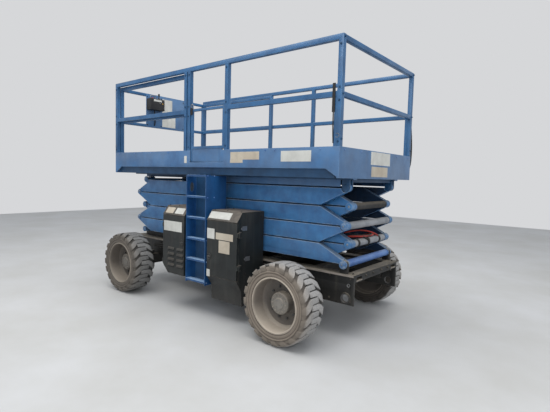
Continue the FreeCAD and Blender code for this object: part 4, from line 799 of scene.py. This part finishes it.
# Painted shade: a thin near-black plate stands where the opening under each hood is
def louvreSlit(x, y, z, side, size):  # the dark opening under a hood
    width, height, out = size
    extent = (width - hood["slitInset"], height * hood["slitShare"], hood["slitThick"])
    return slab((x, y, z - height * hood["slitDrop"]), (-side, 0, 0), (0, 0, 1), extent, hood["slitSoftening"])


for name, bank in louvres.items():
    parts = []
    for x in bank["columns"]:
        for make, finish in ((louvreHood, "boxPaint"), (louvreSlit, "deepShade")):
            seed = make(x, bank["y"], bank["top"], bank["side"], bank["size"])
            values = {"Count": bank["rows"], "Step": (0, 0, bank["step"])}
            parts.append((grown(seed, rowTree, finish, values), finish))
    group(name, bank["body"], "box_paint", parts)

hingeLeaf = {"plate": (0.075, 0.05, 0.004), "plateIn": 0.055, "arm": (0.05, 0.022, 0.005), "armIn": 0.02,
             "armOut": 0.003, "softening": 0.001}
leaves = {"nearRearLeaves": [(0.81, -0.985, 1.12), (0.81, -0.93, 0.77)],
          "nearFrontLeaves": [(-0.53, -0.985, 1.08), (-0.53, -0.985, 0.55)],
          "farEngineLeaves": [(-0.53, 0.985, 1.1), (-0.53, 0.985, 0.45)]}
latchCup = [(0.0, 0.0), (0.0, 0.034), (0.004, 0.036), (0.006, 0.033), (0.003, 0.03), (0.002, 0.0)]
latchTee = {"half": 0.024, "out": 0.012, "thick": 0.006}
latches = {"nearFrontLatch": ("near_front_door", [(-0.135, -1.05, 0.86)]),
           "nearRearLatch": ("near_rear_door", [(0.362, -1.05, 0.76)]),
           "farEngineLatches": ("far_engine_door", [(0.74, 1.05, 1.02), (0.74, 1.05, 0.5)])}


def leaf(x, y, z):  # a bright hinge leaf on a box's end wall
    side, end = math.copysign(1, y), math.copysign(1, x)
    turn, soft = ((0, end, 0), (0, 0, 1)), hingeLeaf["softening"]
    plate = slab((x, y - side * hingeLeaf["plateIn"], z), *turn, hingeLeaf["plate"], soft)
    armPlace = (x + end * hingeLeaf["armOut"], y - side * hingeLeaf["armIn"], z)
    arm = slab(armPlace, *turn, hingeLeaf["arm"], soft)
    return [(plate, "capSteel"), (arm, "capSteel")]


def pullLatch(x, y, z):  # a draw latch in a dished cup on a door
    side, half, thick = math.copysign(1, y), latchTee["half"], latchTee["thick"]
    tee = cuboid((x - half, y, z - thick), (x + half, y + side * latchTee["out"], z + thick))
    return [(disc((x, y, z), (0, side, 0), latchCup), "barrelPaint"), (tee, "engineIron")]


for name, places in leaves.items():
    group(name, "chassis", "box_paint", sum((leaf(*place) for place in places), []))
for name, (body, places) in latches.items():
    group(name, body, "box_paint", sum((pullLatch(*place) for place in places), []))
bolts("boxBolts", "chassis", "box_paint",
      spotGrid((-0.5, -0.315, -0.13, 0.35, 0.565, 0.78), [-0.955], [1.3], upAim, 0.006) +
      spotGrid((-0.5, -0.13, 0.35, 0.78), [-0.64], [1.3], upAim, 0.006) +
      spotGrid((-0.5, -0.06, 0.37, 0.78), (0.64, 0.955), [1.3], upAim, 0.007) +
      spotGrid([0.81], (-0.66, -0.9), (0.6, 1.24), rearAim, 0.006) +
      spotGrid([0.81], (0.66, 0.98), (0.4, 0.8, 1.2), rearAim, 0.007), "darkRubber", 1.35)
print("boxes dressed")


# Scissor arms: caps and bosses on the pins, pin heads, painted shade on the inner faces, and the cross tubes'
# colours, the black one being painted shade
arms = {"rise": 0.2, "low": 0.815, "middle": 0.0177, "half": 1.8423, "outer": 0.56, "inner": 0.45,
        "trimOut": 0.0085, "headOut": {"outer": 0.018, "inner": 0.029}, "headSunk": 0.001,
        "centreOut": 0.5685, "centreGrowth": 1.15, "tubeInset": 0.08, "tubeReach": 0.0412}
pinCap = [(0.0, 0.0), (0.0, 0.034), (0.004, 0.034), (0.0055, 0.032), (0.0055, 0.024), (0.009, 0.0225),
          (0.0095, 0.0)]
pinBoss = [(0.0, 0.0), (0.0, 0.0445), (0.012, 0.0445), (0.017, 0.041), (0.019, 0.034), (0.0185, 0.012),
           (0.0205, 0.011), (0.0205, 0.0)]
pinHead = [(0.0, 0.0), (0.0, 0.009), (0.004, 0.009), (0.007, 0.006), (0.007, 0.0)]
# The black on stage 4's inner tube is painted shade; the others are the tubes' own colours
tubeFinish = {"stage1_outer_arms": "tubeBlue", "stage2_inner_arms": "greyTube",
              "stage3_outer_arms": "greyTube", "stage4_inner_arms": "blackPaint"}


def dressArms(stage, which):
    node, face = f"stage{stage}_{which}_arms", arms[which]
    centre = arms["low"] + (stage - 0.5) * arms["rise"]
    lowAtRear = (stage % 2 == 1) == (which == "outer")  # whether its lower pins are at the +X end
    pin = (arms["middle"] + (1 if lowAtRear else -1) * arms["half"], centre - arms["rise"] / 2)
    parts = []
    for hand in (-1, 1):
        aim, headOut = (0, hand, 0), face + arms["headOut"][which] - arms["headSunk"]
        profile = pinCap if which == "outer" else pinBoss
        trim = disc((pin[0], hand * (face + arms["trimOut"]), pin[1]), aim, profile)
        bright = disc((pin[0], hand * headOut, pin[1]), aim, pinHead, 10)
        parts += [(trim, "armPaint"), (bright, "capSteel")]
        if which == "inner" and not lowAtRear:
            wide = [(height, radius * arms["centreGrowth"]) for height, radius in pinCap]
            centrePin = (arms["middle"], hand * arms["centreOut"], centre)
            parts.append((disc(centrePin, aim, wide), "armPaint"))
    group(camel(node) + "Caps", f"stage{stage}_{which}", "arm_paint", parts)
    # Faces turned inward to the stack get painted shade
    repaint(shells[node], "innerBlue", lambda c, n: abs(n.y) > 0.95 and c.y * n.y < 0)
    if node in tubeFinish:
        root = face - arms["tubeInset"]
        repaint(shells[node], tubeFinish[node], lambda c, n: abs(c.y) < root and
                math.hypot(c.x - pin[0], c.z - pin[1]) < arms["tubeReach"])


for stage in (1, 2, 3, 4):
    for which in ("outer", "inner"):
        dressArms(stage, which)
print("arms dressed")


# Platform: blank plates, bolts, post sleeves, gate cover and latch, strap, hanging lines and rail clips
platformPlates = {
    "nearFasciaPlates": ("platform", [
        (nearFace, (0.745, -0.89, 1.934), (0.442, 0.088), "plateBeige"),
        (nearFace, (0.62, -0.89, 1.872), (0.2, 0.036), "plateBeige"),
        (nearFace, (1.457, -0.89, 1.922), (0.38, 0.11), "plateWhite"),
        (nearFace, (-0.2875, -0.89, 1.897), (0.05, 0.09), "plateWhite")]),
    "endFasciaPlates": ("platform", [
        (rearFace, (1.965, 0.018, 1.931), (0.49, 0.14), "plateWhite"),
        (rearFace, (1.965, 0.0, 1.788), (0.41, 0.11), "plateBeige")]),
    "farFasciaPlates": ("platform", [
        (farFace, (-1.1, 0.89, 1.93), (0.6, 0.11), "plateWhite"),
        (farFace, (1.3, 0.89, 1.92), (0.38, 0.11), "plateBeige")]),
    "panelPlates": ("extension", [
        (rearFace, (-1.892, 0.0, 2.828), (0.2, 0.222), "plateWhite"),
        (rearFace, (-1.892, 0.035, 2.575), (0.266, 0.18), "plateWhite")])}
for name, (body, rows) in platformPlates.items():
    plateGroup(name, body, "blue_paint", rows)

postRows = (2.055, 2.44, 2.56, 2.955)
bolts("postBolts", "platform", "blue_paint",
      spotGrid((-1.94, -0.305, -0.235, 0.435, 1.94), [-0.89], postRows, nearAim, 0.008) +
      spotGrid((-1.94, -0.34, 0.475, 1.94), [0.89], postRows, farAim, 0.008) +
      spotGrid([1.965], (-0.865, 0.865), (2.08, 2.5, 3.02), rearAim, 0.008), "shadeBlue", 1.5)
group("postSleeves", "platform", "blue_paint", [
    (cuboid((1.888, hand * 0.842, 2.008), (1.917, hand * 0.888, 2.478), 0.003), "railPaint")
    for hand in (-1, 1)])
bolts("fasciaBolts", "platform", "blue_paint",
      spotGrid((-1.85, -1.45, -1.05, -0.65, 1.05, 1.18, 1.75), [-0.89], [1.99], nearAim, 0.006) +
      spotGrid((-1.85, -1.2, -0.55, 0.1, 0.8, 1.6), [0.89], [1.99], farAim, 0.006) +
      spotGrid([1.965], (-0.8, -0.45, 0.45, 0.8), [1.985], rearAim, 0.006), "tubeBlue", 1.4)

gate = {"covers": [((0.350, -0.8895, 1.872), (0.414, -0.8855, 2.008)),
                   ((-0.214, -0.8895, 1.872), (-0.196, -0.8855, 2.008))],
        "latch": ((-0.2, -0.892, 2.455), (-0.165, -0.881, 2.54)), "wireRadius": 0.004,
        "wire": [(-0.19, -0.886, 2.53), (-0.19, -0.892, 2.57), (-0.17, -0.89, 2.6), (-0.15, -0.884, 2.57),
                 (-0.15, -0.88, 2.52)]}
covers = [(cuboid(*ends, 0.001), "bluePaint") for ends in gate["covers"]]
group("gateCover", "platform", "blue_paint", covers)
group("gateLatch", "gate", "blue_paint", [
    (cuboid(*gate["latch"], 0.003), "darkRubber"), (hose(gate["wire"], gate["wireRadius"]), "capSteel")])

strap = {"pad": ((1.868, -0.899, 2.33), (1.9, -0.8885, 2.6)), "tailRadius": 0.006,
         "tail": [(1.884, -0.895, 2.34), (1.886, -0.897, 2.28), (1.884, -0.896, 2.2), (1.888, -0.894, 2.12),
                  (1.89, -0.89, 2.04)]}
group("nearPostStrap", "platform", "control_plastic", [
    (cuboid(*strap["pad"], 0.004), "darkRubber"), (hose(strap["tail"], strap["tailRadius"]), "darkRubber")])
cornerLine = {"thick": 0.014, "thin": 0.01, "beside": (-0.03, -0.004, 0),
              "clamp": ((1.905, 0.889, 1.9), (1.962, 0.934, 2.2)),
              "route": [(1.94, 0.893, 2.42), (1.944, 0.905, 2.36), (1.95, 0.93, 2.2), (1.952, 0.94, 2.0),
                        (1.945, 0.925, 1.86), (1.92, 0.9, 1.8)]}
besideRoute = [tuple(v + d for v, d in zip(place, cornerLine["beside"])) for place in cornerLine["route"]]
group("farCornerLine", "platform", "control_plastic", [
    (hose(cornerLine["route"], cornerLine["thick"]), "darkRubber"),
    (hose(besideRoute, cornerLine["thin"]), "darkRubber"),
    (cuboid(*cornerLine["clamp"], 0.008), "darkRubber")])

railClip = {"xs": (-1.94, 1.94), "radius": 0.0022, "route": [(-0.02, 0.899, 2.1), (0.0, 0.903, 2.085),
            (0.02, 0.899, 2.1), (0.018, 0.897, 2.125), (0.0, 0.896, 2.135), (-0.018, 0.897, 2.125)]}
group("railPins", "platform", "blue_paint", [
    (hose([(middle + x, hand * y, z) for x, y, z in railClip["route"]], railClip["radius"]), "capSteel")
    for middle in railClip["xs"] for hand in (-1, 1)])
print("platform dressed")


# Deck, gate and ladder faces that have another finish than the rest of their node, with painted shade under the
# deck and on the ladder's back
deck = {"underside": 1.798, "insideY": 0.86, "insideX": 1.93, "floor": (1.855, 1.865),
        "extensionFloor": 1.875, "toeBoard": 2.03}
# Painted shade under the deck, skirts included
repaint(shells["platform_deck"], "shadeBlue",
        lambda c, n: c.z < deck["underside"] and abs(c.y) < deck["insideY"] and abs(c.x) < deck["insideX"])
repaint(shells["platform_deck"], "gritFloor",
        lambda c, n: n.z > 0.95 and deck["floor"][0] < c.z < deck["floor"][1])
repaint(shells["extension_deck"], "gritFloor", lambda c, n: n.z > 0.95 and c.z > deck["extensionFloor"])
repaint(shells["entry_gate"], "bluePaint", lambda c, n: c.z < deck["toeBoard"])
ladder = {"rungs": [0.411 + 0.257 * i for i in range(6)], "rungX": (-0.08, 0.26), "rungY": -0.94,
          "rungHalf": 0.0135, "backY": (-0.9, -0.86), "hole": (-0.952, 1.555), "stretch": 2.1}
# Painted shade on the ladder's back plate between the stiles
repaint(shells["ladder"], "shadeBlue",
        lambda c, n: abs(n.y) > 0.9 and ladder["backY"][0] < c.y < ladder["backY"][1])
repaint(shells["ladder"], "rungBlue",
        lambda c, n: ladder["rungX"][0] < c.x < ladder["rungX"][1] and c.y < ladder["rungY"] and
        min(abs(c.z - z) for z in ladder["rungs"]) < ladder["rungHalf"])
flange = {"x": (-0.34, 1.797), "y": (0.487, 0.558), "z": (1.622, 1.7),
          "foot": 0.055, "wall": 0.008, "roof": 0.012}


def flangeOutline(hand):  # a beam's section, with a foot turned in
    (inner, outer), (low, high) = flange["y"], flange["z"]
    foot, wall, roof = outer - flange["foot"], outer - flange["wall"], high - flange["roof"]
    rows = [(inner, high), (outer, high), (outer, low), (foot, low), (foot, low + flange["wall"]),
            (wall, low + flange["wall"]), (wall, roof), (inner, roof)]
    return [(hand * y, z) for y, z in rows]


group("deckFlanges", "platform", "blue_paint", [
    (pushed(flangeOutline(hand), *flange["x"], 0.0015), "bluePaint") for hand in (-1, 1)])

# Ladder hand hole, drawn on both faces of the left plate with painted shade for what is seen through it, and
# bolts
holeRim = [(0.0, 0.0), (0.0, 0.034), (0.003, 0.034), (0.004, 0.029), (0.0012, 0.028), (0.001, 0.0)]
holeShade = [(0.0, 0.0), (0.0, 0.0275), (0.0016, 0.0275), (0.0016, 0.0)]
handHoles = []
for x, aim in ((-0.08, rearAim), (-0.09, frontAim)):
    for profile, finish in ((holeRim, "ladderBlue"), (holeShade, "gritFloor")):
        ring = disc((0, 0, 0), aim, profile, 32)
        tall = Matrix.Diagonal((1, 1, ladder["stretch"], 1))
        ring.transform(Matrix.Translation((x, *ladder["hole"])) @ tall)
        handHoles.append((ring, finish))
group("ladderHandHoles", "chassis", "blue_paint", handHoles)
bolts("ladderBolts", "chassis", "blue_paint",
      spotGrid([0.27], (-0.9, -1.005), ladder["rungs"], rearAim, 0.006) +
      spotGrid([-0.09], (-0.9, -1.005), ladder["rungs"], frontAim, 0.006), "tubeBlue", 1.3)


# Control box: a pale strip, stop button, two small buttons, lever, guard bar and a cable into the panel
stopButton = [(0.0, 0.0), (0.0, 0.016), (0.004, 0.016), (0.005, 0.009), (0.01, 0.009), (0.012, 0.017),
              (0.018, 0.017), (0.021, 0.012), (0.022, 0.0)]
smallButton = [(0.0, 0.0), (0.0, 0.009), (0.006, 0.009), (0.008, 0.007), (0.008, 0.0)]
lever = [(0.0, 0.0), (0.0, 0.026), (0.004, 0.026), (0.014, 0.018), (0.02, 0.0085), (0.052, 0.007),
         (0.056, 0.013), (0.085, 0.015), (0.093, 0.011), (0.095, 0.0)]
console = {"guardRadius": 0.006, "cableRadius": 0.009,
           "guard": [(-1.85, -0.36, 2.905), (-1.85, -0.36, 2.95), (-1.85, -0.34, 2.963), (-1.85, -0.28, 2.965),
                     (-1.85, -0.26, 2.955), (-1.85, -0.26, 2.905)],
           "cable": [(-1.86, -0.27, 2.725), (-1.86, -0.27, 2.66), (-1.862, -0.262, 2.58), (-1.872, -0.25, 2.53),
                     (-1.885, -0.25, 2.5), (-1.896, -0.25, 2.49)]}
group("controlDetails", "extension", "control_plastic", [
    (plateOn(rearFace, (-1.772, -0.27, 2.875), (0.15, 0.03)), "plateWhite"),
    (disc((-1.83, -0.33, 2.905), upAim, stopButton), "redRubber"),
    (disc((-1.772, -0.225, 2.835), rearAim, smallButton, 16), "capSteel"),
    (disc((-1.772, -0.18, 2.835), rearAim, smallButton, 16), "yellowPaint"),
    (disc((-1.83, -0.21, 2.905), upAim, lever), "darkRubber"),
    (hose(console["guard"], console["guardRadius"]), "capSteel"),
    (hose(console["cable"], console["cableRadius"]), "darkRubber")])
group("slideStrips", "extension", "blue_paint", [
    (cuboid((-1.95, hand * 0.802, 2.982), (-0.285, hand * 0.8325, 2.9915), 0.0015), "shadeBlue")
    for hand in (-1, 1)])
bolts("panelBolts", "extension", "blue_paint",
      spotGrid([-1.892], (-0.385, -0.12, 0.33), (2.49, 2.94), rearAim, 0.006), "darkRubber", 1.4)
print("controls dressed")


# Chassis: dusty tops and edges, tie-down rings, slot lips, bolts and clamped lines
chassis = {"endTop": 0.712, "endX": 1.86, "flangeZ": (0.699, 0.7206), "flangeY": 0.553,
           "ringX": 1.895, "ringZ": 0.467, "eyeX": 1.927, "eyeZ": 0.605,
           "lipX": (1.985, 1.996), "lipY": (0.365, 0.495), "lipZ": (0.648, 0.6595)}
tieRing = [(-0.03, 0.045), (-0.03, 0.0415), (0.004, 0.0415), (0.006, 0.044), (0.006, 0.05), (0.0, 0.052)]
pinEye = [(-0.004, 0.0122), (0.003, 0.0122), (0.004, 0.0135), (0.004, 0.019), (0.0, 0.02), (-0.004, 0.02)]
repaint(shells["chassis_frame"], "dustTop", lambda c, n:
        (n.z > 0.8 and c.z > chassis["endTop"] and abs(c.x) > chassis["endX"]) or
        (chassis["flangeZ"][0] < c.z < chassis["flangeZ"][1] and abs(c.y) > chassis["flangeY"]))
endBits = []
for end in (1, -1):
    for hand in (-1, 1):
        aim = (0, hand, 0)
        lip = [(end * x, hand * y, z) for x, y, z in zip(chassis["lipX"], chassis["lipY"], chassis["lipZ"])]
        endBits += [
            (disc((end * chassis["ringX"], hand * 0.5495, chassis["ringZ"]), aim, tieRing, 36), "engineIron"),
            (disc((end * chassis["eyeX"], hand * 0.54, chassis["eyeZ"]), aim, pinEye, 24), "capSteel"),
            (cuboid(*lip), "dustTop")]
group("chassisRings", "chassis", "black_paint", endBits)
sideBolts = [spot for hand in (-1, 1) for spot in
             spotGrid((-1.95, -1.7, 1.7, 1.95), [hand * 0.54], (0.44, 0.68), (0, hand, 0), 0.009)]
axleBolts = [spot for hand in (-1, 1) for spot in
             spotGrid((-0.9, -0.72, 0.72, 0.9), [hand * 0.54], (0.44, 0.56), (0, hand, 0), 0.011)]
endBolts = [spot for end in (-1, 1) for spot in
            spotGrid([end * 1.99], (-0.28, -0.1, 0.1, 0.28), [0.68], (end, 0, 0), 0.009)]
topBolts = [spot for hand in (-1, 1) for spot in spotGrid((-1.95, 1.95), [hand * 0.49], [0.72], upAim, 0.009)]
bolts("chassisBolts", "chassis", "black_paint", sideBolts + axleBolts + endBolts + topBolts, "blackPaint", 1.5)

sideLine = {"sizes": ((0.0, 0.011), (0.03, 0.011), (0.058, 0.008)),  # how far below the first, radius
            "start": (-1.5, 0.52, 0.6), "bend": (-1.46, 0.55, 0.63),
            "run": [(-1.2, 0.554, 0.66), (-0.9, 0.554, 0.655), (-0.3, 0.554, 0.66), (0.4, 0.554, 0.655),
                    (0.95, 0.554, 0.66), (1.25, 0.553, 0.655), (1.4, 0.548, 0.62), (1.42, 0.52, 0.56)],
            "clampXs": (-1.15, -0.65, 1.05), "clampHalf": 0.012, "clampY": (0.54, 0.57),
            "clampZ": (0.585, 0.675)}


def sideRoute(hand, drop):
    start, bend = sideLine["start"], sideLine["bend"]
    return [(start[0], hand * start[1], start[2]), (bend[0], hand * (bend[1] + drop / 4), bend[2] - drop)] + [
        (x, hand * y, z - drop) for x, y, z in sideLine["run"]]


lines = []
for hand in (-1, 1):
    lines += [(hose(sideRoute(hand, drop), radius), "darkRubber") for drop, radius in sideLine["sizes"]]
    for x in sideLine["clampXs"]:
        corners = [(x + way * sideLine["clampHalf"], hand * y, z)
                   for way, y, z in zip((-1, 1), sideLine["clampY"], sideLine["clampZ"])]
        lines.append((cuboid(*corners), "capSteel"))
group("chassisLines", "chassis", "black_paint", lines)


# Hoses round the lower grey tube, held by dark bands
tube = {"x": arms["middle"] + arms["half"], "z": 1.015, "bandYs": (-0.285, -0.05, 0.22),
        "over": [(-0.30, 0.068, 0.010, "redRubber"), (-0.25, 0.074, 0.010, "darkRubber"),
                 (-0.20, 0.066, 0.009, "redRubber")],  # start y, height over the tube, radius, finish
        "beside": [(0.009, "redRubber", [
            (1.66, -0.2, 1.1), (1.74, -0.1, 1.125), (1.80, -0.02, 1.128), (1.845, 0.06, 1.11),
            (1.872, 0.14, 1.085), (1.885, 0.22, 1.05), (1.875, 0.25, 1.0), (1.84, 0.26, 0.965),
            (1.76, 0.27, 0.96)]),
            (0.01, "darkRubber", [
                (1.7, -0.26, 1.04), (1.78, -0.25, 1.075), (1.84, -0.2, 1.086), (1.88, -0.13, 1.07),
                (1.902, -0.07, 1.03), (1.9, -0.05, 0.985), (1.86, -0.05, 0.958), (1.78, -0.05, 0.96)])]}
band = [(-0.016, 0.0395), (-0.016, 0.046), (-0.012, 0.049), (0.012, 0.049), (0.016, 0.046), (0.016, 0.0395)]


def overTube(y, rise):  # the route of a hose that climbs over the tube, and back under it
    route = [(-0.42, -0.02, -0.02), (-0.28, -0.01, 0.0), (-0.12, 0.0, rise * 0.9), (-0.03, 0.05, rise),
             (0.012, 0.14, rise * 0.88), (0.02, 0.26, rise * 0.82), (0.0, 0.36, rise * 0.95),
             (-0.08, 0.44, rise * 0.8), (-0.25, 0.46, -0.01), (-0.4, 0.46, -0.03)]
    return [(tube["x"] + dx, y + dy, tube["z"] + dz) for dx, dy, dz in route]


group("tubeHoses", "stage2_inner", "arm_paint",
      [(disc((tube["x"], y, tube["z"]), farAim, band, 32), "darkRubber") for y in tube["bandYs"]] +
      [(hose(overTube(y, rise), radius), finish) for y, rise, radius, finish in tube["over"]] +
      [(hose(route, radius), finish) for radius, finish, route in tube["beside"]])


# Lift cylinders: gland nuts, ports, bands and short lines
# Ports hold: distance along the barrel, half width, height. The line: distance, height over the axis
cylinder = {"foot": (-1.1823, 0.0, 0.885), "apart": {"lower": 0.0, "upper": 0.4},
            "slope": math.atan2(0.17, 2.1), "gland": 1.655, "wall": 0.066, "bands": (0.45, 1.05),
            "ports": ((0.14, 0.03, 0.035), (1.5, 0.025, 0.03)), "lineRadius": 0.009,
            "line": [(1.5, 0.09), (1.5, 0.11), (1.42, 0.115), (1.2, 0.1), (0.8, 0.088), (0.4, 0.088),
                     (0.25, 0.09), (0.16, 0.105), (0.14, 0.1)]}
gland = [(0.0, 0.0405), (0.0, 0.066), (0.012, 0.066), (0.016, 0.06), (0.016, 0.044), (0.02, 0.0405)]
barrelBand = [(0.0, 0.069), (0.0, 0.076), (0.02, 0.076), (0.02, 0.069)]
barrelWay = Vector((math.cos(cylinder["slope"]), 0, math.sin(cylinder["slope"])))
barrelUp = Vector((-barrelWay.z, 0, barrelWay.x))


def onBarrel(which, distance, height=0.0):
    foot = Vector(cylinder["foot"]) + Vector((0, 0, cylinder["apart"][which]))
    return tuple(foot + barrelWay * distance + barrelUp * height)


def portBlock(which, distance, half, height):
    mesh = cuboid((-half, -half, 0.0), (half, half, height), 0.004)
    turn = Matrix.Rotation(-cylinder["slope"], 4, "Y")
    mesh.transform(Matrix.Translation(onBarrel(which, distance, cylinder["wall"])) @ turn)
    return mesh


for which in cylinder["apart"]:
    route = [onBarrel(which, distance, height) for distance, height in cylinder["line"]]
    parts = [(disc(onBarrel(which, cylinder["gland"]), barrelWay, gland, 36), "capSteel")]
    parts += [(portBlock(which, *port), "capSteel") for port in cylinder["ports"]]
    parts.append((hose(route, cylinder["lineRadius"]), "darkRubber"))
    for distance in cylinder["bands"]:
        parts.append((disc(onBarrel(which, distance), barrelWay, barrelBand, 36), "capSteel"))
    group(which + "CylinderDetails", which + "_barrel", "barrel_paint", parts)
print("running lines and cylinders dressed")
